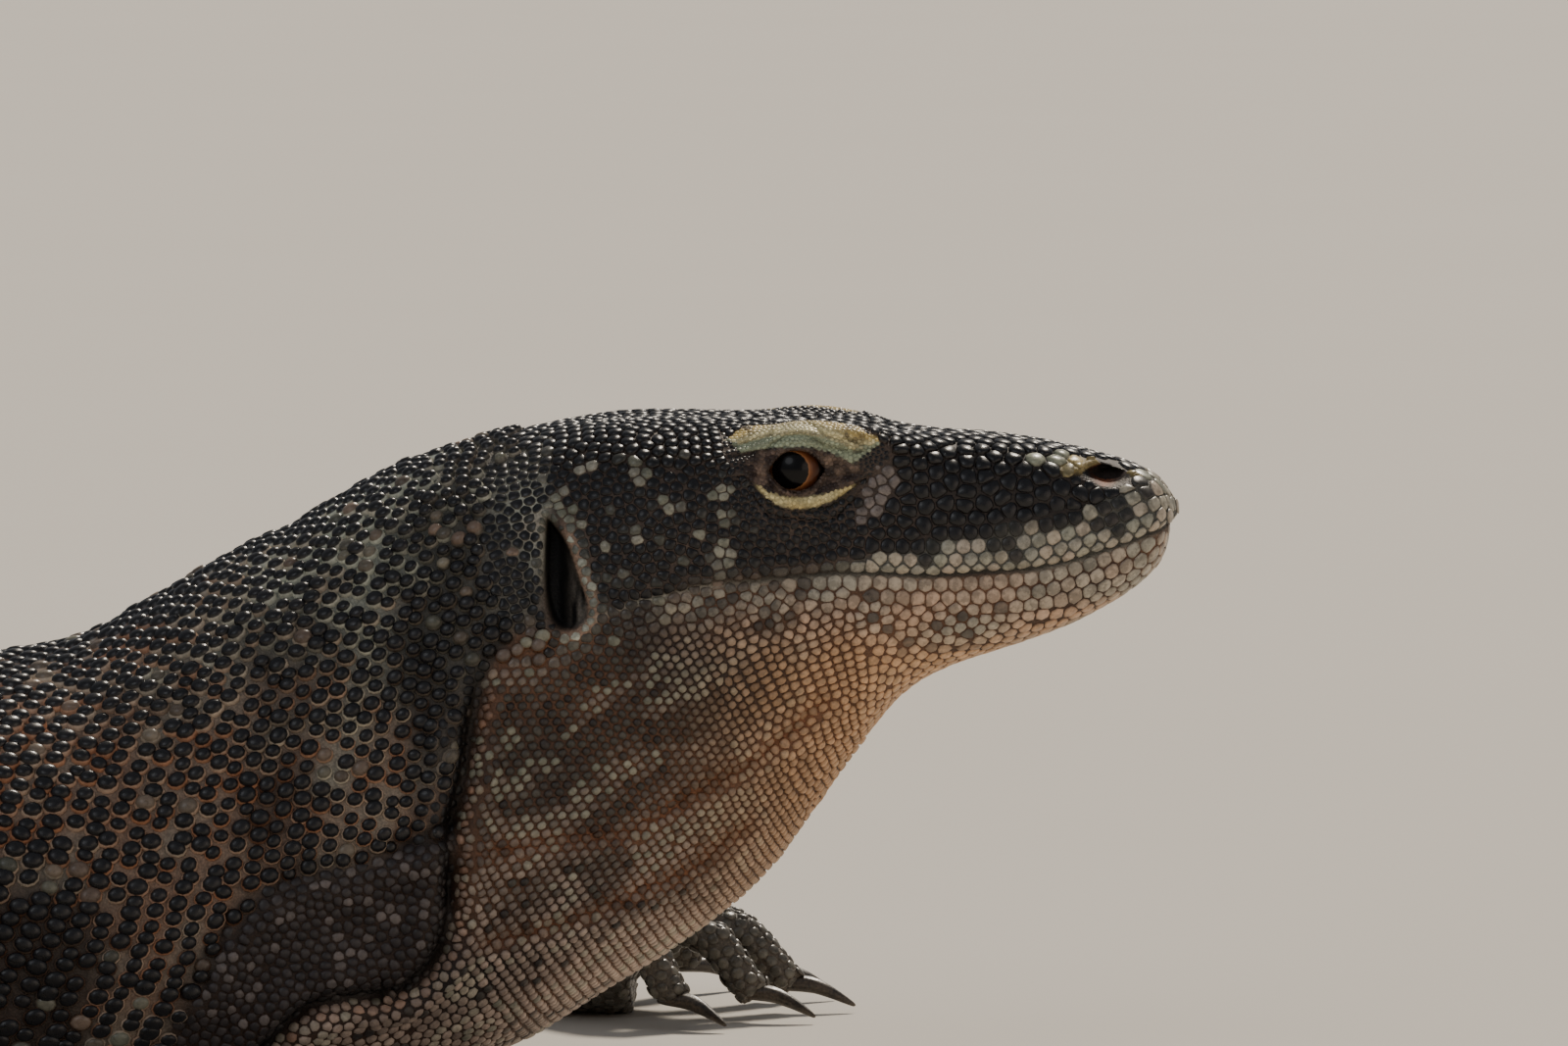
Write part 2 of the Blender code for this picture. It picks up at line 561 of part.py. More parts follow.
def main():
    clear_scene()
    parts = new_collection("komodo_dragon", hidden=False)
    cutters = new_collection("cutters", hidden=True)
    head, jaw, eyes = make_head(parts, cutters)
    necks, trunks, tails = make_body(parts)
    flank = flank_cutter(cutters)
    floor = floor_cutter(cutters)
    limbs, claws = [], []
    for limb in LIMBS:
        lengths, wrist_rings, wrist = make_limb(limb, parts, cutters, flank, floor)
        palm, own_claws = make_foot(limb, lengths[1], wrist_rings, wrist, parts, cutters, floor)
        limbs += lengths + [palm]
        claws += own_claws
    for group, name, colour, roughness in (
            ([head], "black_head_hide", HIDE_BLACK, 0.5), ([jaw], "tan_throat_hide", THROAT_TAN, 0.6),
            (necks + trunks, "brown_body_hide", HIDE_BROWN, 0.6), (tails + limbs, "grey_limb_hide", HIDE_GREY, 0.6),
            (eyes, "brown_eye", EYE_BROWN, 0.08), (claws, "claw_horn", CLAW_HORN, 0.35)):
        for thing in group:
            thing.data.materials.append(finish_material(f"{name}_{thing.name}", colour, roughness))


main()
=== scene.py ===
"""The looks of a life-size komodo dragon: one skin, a coat of solid scales over it, eyes, lids and claws."""
from math import cos, pi, radians, sin

import bmesh
import bpy
import numpy as np
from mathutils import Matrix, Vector, noise
from mathutils.bvhtree import BVHTree
from mathutils.kdtree import KDTree


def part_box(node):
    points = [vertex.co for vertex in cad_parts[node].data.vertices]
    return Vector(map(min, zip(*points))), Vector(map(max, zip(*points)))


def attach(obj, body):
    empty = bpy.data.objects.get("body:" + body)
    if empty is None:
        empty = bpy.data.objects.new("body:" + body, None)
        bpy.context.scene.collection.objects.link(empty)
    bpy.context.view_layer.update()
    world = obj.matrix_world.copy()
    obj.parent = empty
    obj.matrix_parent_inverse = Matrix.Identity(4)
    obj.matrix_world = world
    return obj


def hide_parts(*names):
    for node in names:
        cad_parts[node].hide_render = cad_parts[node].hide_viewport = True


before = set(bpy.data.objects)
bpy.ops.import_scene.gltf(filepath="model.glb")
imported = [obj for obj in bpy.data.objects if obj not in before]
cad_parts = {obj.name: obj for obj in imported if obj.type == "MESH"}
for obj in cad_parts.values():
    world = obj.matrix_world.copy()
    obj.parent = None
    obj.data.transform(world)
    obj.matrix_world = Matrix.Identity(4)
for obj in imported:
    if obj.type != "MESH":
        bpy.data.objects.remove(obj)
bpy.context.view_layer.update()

SIDES = (("left", 1), ("right", -1))
BODY_NODES = ["head", "jaw_and_throat", "neck_front", "neck_rear", "trunk_front", "trunk_rear", "hips",
              "tail_1", "tail_2", "tail_3", "tail_4", "tail_5"]
LIMB_NODES = [f"{part}_{side}" for side, _ in SIDES
              for part in ("upper_arm", "forearm", "hand", "thigh", "shank", "foot")]
FOOT_NODES = [name for name in LIMB_NODES if name.startswith(("hand", "foot"))]
LOWER_LIMBS = [name for name in LIMB_NODES if name.startswith(("forearm", "hand", "shank", "foot"))]
CLAW_NODES = sorted(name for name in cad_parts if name.startswith("claw"))

SEAL = 0.0004           # how far each solid is swollen so that the thin cuts between them close
VOXEL = 0.0063          # grain of the fused skin before its finer parts are divided
SKIN_KEPT = 0.80        # the part of the skin's faces kept when those under the body's coat are merged
FLOOR_CLEAR = 0.0002    # the skin's lowest height, and the coat's
COAT_FLOOR = 0.0003

HEAD_BASE = 0.58        # ahead of this, on the narrow part of the body, is the head
NECK_BASE = 0.44        # the folds of the neck and throat lie ahead of this
NECK_HALF = 0.12        # and nearer the middle than this
VENT = -0.46            # the tail begins here

TIP = Vector(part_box("head")[1])[0]                      # how far ahead the snout reaches
EYE = 0.5 * (np.array(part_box("eye_left")[0]) + np.array(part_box("eye_left")[1]))
EYE_RADIUS = 0.5 * (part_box("eye_left")[1][0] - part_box("eye_left")[0][0])
NOSTRIL = np.array((TIP - 0.0230, 0.0265, EYE[2] - 0.0030))
NOSTRIL_HALF = np.array((0.0072, 0.0032))
EAR = np.array((EYE[0] - 0.0755, 0.0590, EYE[2] - 0.0310))
EAR_BACK, EAR_WIDTH = -0.0034, 0.0115                   # from the middle of the ear ahead

SLIT_HALF = 0.0064      # half the height of the opening between the lids
LID_THICKNESS = 0.0014
BROW_OUT, BROW_UP = 0.0030, 0.0024                      # how far the brow ridge stands out and up
# The lids' creases and the rolls between them: place across the lid, width, and how far out they stand.
UPPER_CREASES = ((0.10, 0.06, 0.0005), (0.30, 0.11, 0.0006), (0.456, 0.035, -0.0011), (0.57, 0.06, 0.0006),
                 (0.675, 0.035, -0.0008), (0.84, 0.10, 0.0008), (1.02, 0.06, -0.0007))
LOWER_CREASES = ((0.12, 0.09, 0.0005), (0.30, 0.07, -0.0006), (0.62, 0.18, 0.0010), (1.06, 0.09, -0.0010),
                 (1.32, 0.13, 0.0007), (1.58, 0.09, -0.0007), (1.85, 0.13, 0.0005))

# The ear's slit, as (distance ahead of EAR[0], height above EAR[2]): straight behind, bellied in front.
EAR_SLIT = ((-0.0030, 0.0165), (-0.0036, 0.0060), (-0.0034, -0.0050), (-0.0012, -0.0145), (0.0036, -0.0178),
            (0.0088, -0.0152), (0.0098, -0.0095), (0.0068, -0.0005), (0.0036, 0.0085), (-0.0012, 0.0150),
            (-0.0030, 0.0165))
# Lines on the side of the head and neck, as (distance behind the snout tip, height); both sides share them.
MOUTH_LINE = np.array(((0.195, 0.1600), (0.172, 0.1690), (0.150, 0.1738), (0.110, 0.1767), (0.078, 0.1752),
                       (0.047, 0.1768), (0.032, 0.1800), (0.016, 0.1848), (0.0035, 0.1890), (-0.01, 0.1900)))
COLLAR_LINE = ((0.204, 0.2000), (0.2075, 0.1640), (0.2191, 0.1440), (0.2245, 0.1150), (0.2284, 0.0960),
               (0.2300, 0.0650), (0.2441, 0.0460), (0.2753, 0.0400), (0.3000, 0.0100), (0.3200, -0.0200))
SIDE_FOLD = ((0.2290, 0.1000), (0.2550, 0.0900), (0.2847, 0.0830), (0.3003, 0.0680), (0.3100, 0.0500))

THROAT_CREASES = (
    ((0.2175, 0.0903), (0.1972, 0.0935), (0.1753, 0.0941), (0.1566, 0.1051), (0.1378, 0.1145),
     (0.1253, 0.1239), (0.1128, 0.1349)),
    ((0.2191, 0.0612), (0.2003, 0.0653), (0.1878, 0.0690), (0.1691, 0.0769), (0.1566, 0.0816),
     (0.1378, 0.0957)))
SNOUT_GROOVE = np.array(((0.018, 0.1985), (0.031, 0.1966), (0.050, 0.1960), (0.066, 0.1960), (0.080, 0.1950)))


def linear(colour):
    """An sRGB hex colour as linear red, green and blue."""
    value = np.array([int(colour[i:i + 2], 16) / 255 for i in (1, 3, 5)])
    return np.where(value <= 0.04045, value / 12.92, ((value + 0.055) / 1.055) ** 2.4)


def smooth(low, high, value):
    """0 below low, 1 above high, and an easy curve between."""
    part = np.clip((value - low) / (high - low), 0, 1)
    return part * part * (3 - 2 * part)


def mix(first, second, part):
    """Blends colours, or plain numbers, by a share for each point."""
    colours = np.ndim(first) and np.shape(first)[-1] == 3 and np.ndim(part)
    part = np.asarray(part)[..., None] if colours else part
    return first + (second - first) * part


def hump(value, centre, width):
    """1 where the value is at the centre, easing to 0 about two widths away from it."""
    return np.exp(-((value - centre) / width) ** 2)


def grain(points, size, seed=0.0, octaves=1):
    """Smooth random values, about -1 to 1, whose lumps are size across."""
    shift = Vector((seed * 3.7, seed * 1.3, seed * 2.1))
    out = np.zeros(len(points))
    for octave in range(octaves):
        scale = 2 ** octave / size
        out += [noise.noise(Vector(point) * scale + shift) / 1.6 ** octave for point in points]
    return out * 1.4


def line_distance(behind, height, line):
    """How far points are from a line on the side of the body, and the same with a sign for the side."""
    best = np.full(len(behind), 9.0)
    side = np.ones(len(behind))
    for (b0, h0), (b1, h1) in zip(line, line[1:]):
        run, rise = b1 - b0, h1 - h0
        along = np.clip(((behind - b0) * run + (height - h0) * rise) / (run * run + rise * rise), 0, 1)
        away = np.hypot(behind - b0 - along * run, height - h0 - along * rise)
        cross = run * (height - h0) - rise * (behind - b0)
        closer = away < best
        best = np.where(closer, away, best)
        side = np.where(closer, np.sign(cross), side)
    return best, best * np.where(side > 0, 1, -1)


def flowing(line, steps=6):
    """A smooth line through the points of a coarse one."""
    line = np.array(line)
    padded = np.vstack((2 * line[0] - line[1], line, 2 * line[-1] - line[-2]))
    out = []
    for a, b, c, d in zip(padded, padded[1:], padded[2:], padded[3:]):
        for step in range(steps):
            t = step / steps
            out.append(b + 0.5 * t * (c - a + t * (2 * a - 5 * b + 4 * c - d + t * (3 * (b - c) + d - a))))
    return np.array(out + [line[-1]])


COLLAR_LINE = flowing(COLLAR_LINE)
EAR_OUTLINE = flowing(EAR_SLIT, 4)
SIDE_FOLD = flowing(SIDE_FOLD)


def nearness(points, names, fade):
    """1 inside the boxes of the named nodes, easing to 0 at the fade distance outside them."""
    out = np.zeros(len(points))
    for name in names:
        low, high = (np.array(corner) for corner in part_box(name))
        gap = np.linalg.norm(np.maximum(0, np.maximum(low - points, points - high)), axis=1)
        out = np.maximum(out, 1 - smooth(0, fade, gap))
    return out


# ---------------------------------------------------------------- the skin

def linked(name, data):
    """An object at the origin of the scene that holds this mesh, light or camera."""
    thing = bpy.data.objects.new(name, data)
    bpy.context.scene.collection.objects.link(thing)
    return thing


def smooth_mesh(name, mesh):
    """Turns an edit mesh into a smooth-shaded one."""
    data = bpy.data.meshes.new(name)
    mesh.to_mesh(data)
    mesh.free()
    data.shade_smooth()
    return data


def node_arrays(name):
    """A node's merged points and its triangles."""
    mesh = bmesh.new()
    mesh.from_mesh(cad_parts[name].data)
    bmesh.ops.remove_doubles(mesh, verts=mesh.verts, dist=1e-5)
    mesh.normal_update()
    points = np.array([vert.co for vert in mesh.verts])
    normals = np.array([vert.normal for vert in mesh.verts])
    faces = [tuple(vert.index for vert in face.verts) for face in mesh.faces]
    mesh.free()
    return points, normals, faces


def joined(names, shaped=lambda points, normals: points):
    """The named nodes' points, each node's shaped on the way, and their triangles, as one mesh."""
    points, faces, count = [], [], 0
    for name in names:
        own, normals, own_faces = node_arrays(name)
        points.append(shaped(own, normals))
        faces += [tuple(i + count for i in face) for face in own_faces]
        count += len(own)
    return np.vstack(points), faces


def fused_skin(names):
    """All the flesh as one closed surface of even quads."""
    points, faces = joined(names, lambda points, normals: points + normals * SEAL)
    data = bpy.data.meshes.new("flesh")
    data.from_pydata(points.tolist(), [], faces)
    flesh = linked("flesh", data)
    modifier = flesh.modifiers.new("fuse", "REMESH")
    modifier.mode = "VOXEL"
    modifier.voxel_size = VOXEL
    mesh = made_plain(flesh)
    bpy.data.objects.remove(flesh)
    return mesh


def keep_largest(mesh):
    """Drops the small closed shells left in the gaps between solids."""
    seen = set()
    best = []
    for start in mesh.verts:
        if start in seen:
            continue
        shell, stack = [], [start]
        seen.add(start)
        while stack:
            vert = stack.pop()
            shell.append(vert)
            for edge in vert.link_edges:
                other = edge.other_vert(vert)
                if other not in seen:
                    seen.add(other)
                    stack.append(other)
        if len(shell) > len(best):
            best = shell
    keep = set(best)
    bmesh.ops.delete(mesh, geom=[vert for vert in mesh.verts if vert not in keep], context="VERTS")


def face_outwards(mesh):
    """Turns every face of a closed surface to point out."""
    bmesh.ops.recalc_face_normals(mesh, faces=mesh.faces)
    if mesh.calc_volume(signed=True) < 0:
        bmesh.ops.reverse_faces(mesh, faces=mesh.faces)
    mesh.normal_update()


def edges_of(mesh):
    """The two ends of every edge, with the points numbered in order."""
    mesh.verts.ensure_lookup_table()
    mesh.verts.index_update()
    return np.array([(edge.verts[0].index, edge.verts[1].index) for edge in mesh.edges])


def relax(points, edges, rounds, weight=1.0, even=0.53):
    """Evens a surface without shrinking it: each round draws points in, then lets them out again."""
    degree = np.bincount(edges.ravel(), minlength=len(points))[:, None]
    for _ in range(rounds):
        for step in (0.5, -even):
            total = np.zeros_like(points)
            for axis in range(3):
                total[:, axis] = (np.bincount(edges[:, 0], points[edges[:, 1], axis], len(points))
                                  + np.bincount(edges[:, 1], points[edges[:, 0], axis], len(points)))
            points = points + step * np.asarray(weight).reshape(-1, 1) * (total / degree - points)
    return points


def coordinates(mesh):
    return np.array([vert.co for vert in mesh.verts])


def set_coordinates(mesh, points):
    for vert, point in zip(mesh.verts, points):
        vert.co = point
    mesh.normal_update()


def side_view(points):
    """Distance behind the snout tip, distance out from the middle, and height."""
    return TIP - points[:, 0], np.abs(points[:, 1]), points[:, 2]


def side_distance(points, place):
    """How far points are from a place on the side of the head, seen from the side."""
    return np.hypot(points[:, 0] - place[0], points[:, 2] - place[2])


def around(points, place, ahead, up):
    """True within a box round a place, seen from the side."""
    return (np.abs(points[:, 0] - place[0]) < ahead) & (np.abs(points[:, 2] - place[2]) < up)


def ear_field(points):
    """How far a point lies inside the ear's slit, and how far across it from the back edge to the front."""
    ahead = points[:, 0] - EAR[0]
    up = points[:, 2] - EAR[2]
    away, _ = line_distance(ahead, up, EAR_OUTLINE)
    within = np.zeros(len(points), bool)
    for (x0, z0), (x1, z1) in zip(EAR_OUTLINE, EAR_OUTLINE[1:]):
        crosses = (z0 > up) != (z1 > up)
        within ^= crosses & (ahead < (x1 - x0) * (up - z0) / (z1 - z0 if z1 != z0 else 1e-9) + x0)
    return np.where(within, away, -away), (ahead - EAR_BACK) / EAR_WIDTH


def near_feature(points, reach):
    """True where the head's small features need finer faces, within reach of them."""
    behind, out, height = side_view(points)
    flank = out > 0.012
    mouth, _ = line_distance(behind, height, MOUTH_LINE)
    collar, _ = line_distance(behind, height, COLLAR_LINE)
    eye = (side_distance(points, EYE) < 0.016 + reach) & (out > 0.02)
    nostril = flank & (side_distance(points, NOSTRIL) < 0.008 + reach)
    ear = around(points, EAR, 0.006 + reach, 0.019 + reach) & (out > 0.04)
    lips = (mouth < 0.3 * reach) & (behind < 0.19) & (out > 0.004)
    fold = flank & (collar < 0.5 * reach) & (height < 0.15)
    return (behind < 0.31) & (eye | nostril | ear | lips | fold)


def divide(mesh, chosen):
    """Cuts the chosen faces into quarters."""
    verts = coordinates(mesh)
    pick = chosen(verts)
    mesh.verts.ensure_lookup_table()
    mesh.verts.index_update()
    faces = [face for face in mesh.faces if any(pick[vert.index] for vert in face.verts)]
    edges = sorted({edge for face in faces for edge in face.edges}, key=lambda edge: edge.index)
    bmesh.ops.subdivide_edges(mesh, edges=edges, cuts=1, use_grid_fill=True)
    verts = coordinates(mesh)
    weight = chosen(verts).astype(float)
    set_coordinates(mesh, relax(verts, edges_of(mesh), 3, weight))


def normals_of(mesh):
    return np.array([vert.normal for vert in mesh.verts])


def lid_place(points):
    """Distances ahead of and above the eye, how far from slit (0) to lid's edge (1), and whether above."""
    ahead = points[:, 0] - EYE[0]
    up = points[:, 2] - EYE[2]
    s = ahead * 1000
    slit = np.maximum(1 - (np.abs(s - 0.3) / 9.0) ** 2.4, -0.12)
    upper_edge, lower_edge = SLIT_HALF * slit, -SLIT_HALF * slit
    upper_end = (16.9 - 7.1 * ((s - 2) / 25) ** 2) / 1000
    lower_end = (-11.8 + 7.3 * ((s - 1) / np.where(s < 1, 13.9, 18.5)) ** 2) / 1000
    above = (up - upper_edge) / np.maximum(upper_end - upper_edge, 0.002)
    below = (lower_edge - up) / np.maximum(lower_edge - lower_end, 0.002)
    upper = up > 0
    return ahead, up, np.where(upper, above, below), upper


def shape_lids(points):
    """The lids wrap the eyeball, stand proud of it at their edge, and fold where they meet the socket."""
    near = (side_distance(points, EYE) < 0.034) & (np.abs(points[:, 1]) > 0.018)
    own = points[near]
    side = np.sign(own[:, 1])
    out = np.abs(own[:, 1])
    ahead, up, place, upper = lid_place(own)
    away = np.hypot(ahead, up)
    ball = EYE[1] + np.sqrt(np.maximum(EYE_RADIUS ** 2 - away ** 2, 0))
    reach = EYE_RADIUS + LID_THICKNESS
    over = EYE[1] + np.sqrt(np.maximum(reach ** 2 - away ** 2, 0))
    lid = np.where(away < reach, np.maximum(out, over), out)
    folds = np.zeros(len(own))
    for creases, here in ((UPPER_CREASES, upper), (LOWER_CREASES, ~upper)):
        for centre, width, high in creases:
            folds += high * hump(place, centre, width) * here
    folds *= 1 - smooth(0.019, 0.028, np.abs(ahead - 0.002))
    corner = np.exp(-(((np.abs(ahead - 0.0003) - 0.0110) / 0.0035) ** 2 + (up / 0.0030) ** 2))
    along_brow = 1 - smooth(0.017, 0.027, np.abs(ahead - 0.003))
    ridge = BROW_OUT * hump(up, 0.0115, 0.0030) * along_brow * smooth(0.020, 0.028, out)
    own[:, 2] += BROW_UP * hump(out, 0.0290, 0.0050) * along_brow * smooth(0.009, 0.016, up)
    closed = lid + ridge + folds * smooth(0.0, 0.08, place) - 0.0012 * corner
    sunk = np.minimum(ball - 0.0020, closed - 0.0004)
    wall = smooth(-0.05, 0.05, place)
    own[:, 1] = side * (sunk + (closed - sunk) * wall)
    points[near] = own
    return points


def nostril_ring(points):
    """How far a point is from the nostril's middle; 1 is its rim, pointed behind and round in front."""
    ahead = (points[:, 0] - NOSTRIL[0]) / NOSTRIL_HALF[0]
    up = (points[:, 2] - NOSTRIL[2]) / NOSTRIL_HALF[1] + 0.22 * ahead
    return np.hypot(ahead, up * (1.0 + 0.35 * smooth(0.0, -1.0, ahead)))


def above_nostril(points):
    """Height above a line through the nostril that rises a little towards the back."""
    return points[:, 2] - NOSTRIL[2] + 0.10 * (points[:, 0] - NOSTRIL[0])


def shape_nostrils(points, normals):
    """A deep opening under a raised upper rim."""
    out = np.abs(points[:, 1])
    ring = nostril_ring(points)
    near = (out > 0.012) & (ring < 2.6)
    rim = 0.0010 * hump(ring, 1.38, 0.28) * np.where(above_nostril(points) > 0, 1.3, 0.35)
    points = points + normals * np.where(near, rim, 0)[:, None]
    # straight inwards, so that the opening keeps its outline seen from the side
    ahead = (points[:, 0] - NOSTRIL[0]) / NOSTRIL_HALF[0]
    deep = 0.0082 - 0.0042 * smooth(-0.3, 0.9, ahead)
    points[:, 1] -= np.sign(points[:, 1]) * np.where(near, deep * (1 - smooth(0.50, 1.06, ring)), 0)
    return points


def shape_ears(points, normals):
    """A deep upright slit behind the jaw joint; the eardrum slopes up to its front edge."""
    side = (np.abs(points[:, 1]) > 0.035) & around(points, EAR, 0.03, 0.04)
    move = np.zeros(len(points))
    inside, across = ear_field(points[side])
    depth = 0.0110 - 0.0080 * smooth(0.30, 1.0, across)
    move[side] = 0.0014 * hump(inside, -0.0024, 0.0020)
    points = points + normals * move[:, None]
    points[side, 1] -= np.sign(points[side, 1]) * depth * smooth(-0.0005, 0.0012, inside)
    return points


def shape_mouth(points, normals):
    """The lips meet in a fine groove, and the upper lip stands a little proud of the lower."""
    behind, _, height = side_view(points)
    away, below = line_distance(behind, height, MOUTH_LINE)
    fade = (1 - smooth(0.150, 0.185, behind)) * (behind < 0.2)
    groove = -0.0013 * hump(away, 0, 0.0011)
    lip = 0.0009 * hump(-below, 0.0040, 0.0026)
    chin = -0.0007 * hump(-below, -0.0030, 0.0022)
    return points + normals * (fade * (groove + lip + chin))[:, None]


def shape_snout(points, normals):
    """A shallow groove runs back from under the nostril along the side of the snout."""
    behind, out, height = side_view(points)
    away, _ = line_distance(behind, height, SNOUT_GROOVE)
    fade = smooth(0.020, 0.030, behind) * (1 - smooth(0.062, 0.078, behind)) * (out > 0.01)
    deep = -0.0006 * hump(away, 0, 0.0014) + 0.0004 * hump(away, 0.0030, 0.0014)
    return points + normals * (fade * deep)[:, None]


def shape_folds(points, normals):
    """Loose skin hangs in folds where the throat meets the neck and along its side."""
    behind, out, height = side_view(points)
    flank = smooth(0.012, 0.030, out) * (behind < 0.42)
    _, signed = line_distance(behind, height, COLLAR_LINE)
    low = 1 - smooth(0.128, 0.156, height)
    wander = 1 + 0.35 * np.sin(height * 260) * np.cos(behind * 190)
    crease = -0.0042 * hump(signed, 0.0012, 0.0028)
    ridge = 0.0030 * hump(signed, 0.0085, 0.0042) + 0.0030 * hump(signed, -0.0050, 0.0036)
    move = flank * low * (crease + ridge) * wander
    away, signed = line_distance(behind, height, SIDE_FOLD)
    side_fold = -0.0024 * hump(away, 0, 0.0030) + 0.0034 * hump(signed, -0.0070, 0.0042)
    move += flank * smooth(0.222, 0.235, behind) * side_fold
    for line in THROAT_CREASES:
        away, signed = line_distance(behind, height, np.array(line))
        move += flank * (-0.0014 * hump(away, 0, 0.0016) + 0.0011 * hump(signed, 0.0042, 0.0030))
    return points + normals * move[:, None]


def throat_crease(points):
    """1 along the throat's creases."""
    behind, _, height = side_view(points)
    away = np.min([line_distance(behind, height, np.array(line))[0] for line in THROAT_CREASES], axis=0)
    return hump(away, 0, 0.0030)


def shape_wrinkles(points, normals):
    """Low folds across the neck and flank, and slack skin on the trunk."""
    behind = TIP - points[:, 0]
    height = points[:, 2]
    neck = smooth(0.21, 0.26, behind) * (1 - smooth(0.42, 0.52, behind)) * smooth(0.01, 0.03, height)
    trunk = smooth(0.42, 0.50, behind) * (1 - smooth(1.25, 1.35, behind)) * smooth(0.012, 0.04, height)
    stretched = points * np.array((1.0, 0.35, 0.35))
    slanted = stretched + np.array((0.45, 0, 0)) * height[:, None]
    waves = np.zeros(len(points))
    chosen = (neck + trunk) > 0
    waves[chosen] = grain(slanted[chosen], 0.030, 2.0)
    ridged = 0.6 - np.abs(waves) * 1.7
    move = neck * 0.0011 * ridged + trunk * 0.0016 * ridged
    return points + normals * move[:, None]


def coat_depth(points):
    """How far the skin lies inside the solids, to leave room for the coat."""
    behind = TIP - points[:, 0]
    body = 0.0009 + 0.0010 * smooth(0.18, 0.27, behind) - 0.0003 * smooth(0.50, 0.60, behind)
    return mix(body, 0.0005, nearness(points, FOOT_NODES, 0.02))


def heal(points, edges, damaged, rounds):
    """Spans a damaged place with an even membrane from its surroundings."""
    members = np.flatnonzero(damaged)
    row = np.full(len(points), -1)
    row[members] = np.arange(len(members))
    both = np.vstack((edges, edges[:, ::-1]))
    both = both[row[both[:, 0]] >= 0]
    home, other = row[both[:, 0]], both[:, 1]
    degree = np.bincount(home, minlength=len(members))[:, None]
    for _ in range(rounds):
        total = np.stack([np.bincount(home, points[other, axis], len(members)) for axis in range(3)], axis=1)
        points[members] = total / degree
    return points


def damaged(points):
    """Where the solids are cut for the ear and the nostril, which are closed before the skin's are shaped."""
    out = np.abs(points[:, 1])
    ear = around(points, EAR + np.array((0.002, 0, 0)), 0.017, 0.026) & (out > 0.03)
    nostril = (side_distance(points, NOSTRIL) < 0.010) & (out > 0.012)
    return ear | nostril


def solids_tree(names):
    """The named solids as one tree for finding the nearest surface."""
    points, faces = joined(names)
    return BVHTree.FromPolygons([tuple(point) for point in points], faces)


def true_to_limbs(points, limbs, trunk):
    """Draws the limbs' skin back out to their solids, where fusing and relaxing have thinned the toes."""
    for i in np.flatnonzero(np.abs(points[:, 1]) > 0.09):
        spot, _, _, away = limbs.find_nearest(points[i], 0.012)
        if spot is None:
            continue
        other = trunk.find_nearest(points[i], 0.03)[3]
        part = 1.0 if other is None else float(smooth(0.002, 0.020, other - away))
        points[i] += (np.array(spot) - points[i]) * part
    return points


def made_plain(thing):
    """Takes a piece's modifiers into its mesh."""
    made = bpy.data.meshes.new_from_object(thing.evaluated_get(bpy.context.evaluated_depsgraph_get()))
    thing.modifiers.clear()
    thing.data = made
    return made


def lightened(thing, kept):
    """Merges faces of the trunk, tail and limbs, under the coat, until this part of all faces is left."""
    places = np.array([vert.co for vert in thing.data.vertices])
    plain = np.flatnonzero((places[:, 0] < 0.40) | (np.abs(places[:, 1]) > 0.15))
    thing.vertex_groups.new(name="plain").add(plain.tolist(), 1.0, "REPLACE")
    modifier = thing.modifiers.new("fewer", "DECIMATE")
    modifier.ratio, modifier.vertex_group = kept, "plain"
    made_plain(thing).shade_smooth()
    thing.vertex_groups.clear()
    return thing


def make_skin():
    """The skin: fused from the flesh solids, drawn in by the coat's depth, then given its features."""
    mesh = bmesh.new()
    mesh.from_mesh(fused_skin(BODY_NODES + LIMB_NODES + ["eye_left", "eye_right"]))
    keep_largest(mesh)
    face_outwards(mesh)
    points = coordinates(mesh)
    body = smooth(0.20, 0.40, TIP - points[:, 0]) * (np.abs(points[:, 1]) < 0.2)
    edges = edges_of(mesh)
    points = heal(points, edges, damaged(points), 60)
    points = relax(points, edges, 4, 1 - nearness(points, FOOT_NODES, 0.02))
    points = relax(points, edges, 14, body * (1 - nearness(points, LOWER_LIMBS, 0.03)))
    set_coordinates(mesh, points)
    divide(mesh, lambda p: nearness(p, FOOT_NODES, 0.004) > 0.5)
    limbs, trunk = solids_tree(LIMB_NODES), solids_tree(BODY_NODES)
    for weight in (0.6, 0.3):
        points = true_to_limbs(coordinates(mesh), limbs, trunk)
        points = relax(points, edges_of(mesh), 1, weight * nearness(points, FOOT_NODES, 0.02))
        set_coordinates(mesh, points)
    divide(mesh, lambda p: TIP - p[:, 0] < 0.245)
    divide(mesh, lambda p: near_feature(p, 0.010))
    points = coordinates(mesh)
    points = points - normals_of(mesh) * coat_depth(points)[:, None]
    set_coordinates(mesh, points)
    divide(mesh, lambda p: near_feature(p, 0.004))
    for shape in (shape_folds, shape_wrinkles, shape_mouth, shape_snout, shape_nostrils, shape_ears):
        set_coordinates(mesh, shape(coordinates(mesh), normals_of(mesh)))
    points = shape_lids(coordinates(mesh))
    rim = (nostril_ring(points) < 2.2) & (np.abs(points[:, 1]) > 0.004) & (points[:, 0] > NOSTRIL[0] - 0.02)
    points = relax(points, edges_of(mesh), 2, 0.6 * rim)
    points[:, 2] = np.maximum(points[:, 2], FLOOR_CLEAR)
    set_coordinates(mesh, points)
    face_outwards(mesh)
    return lightened(linked("skin", smooth_mesh("skin", mesh)), SKIN_KEPT)


# ---------------------------------------------------------------- places along the body

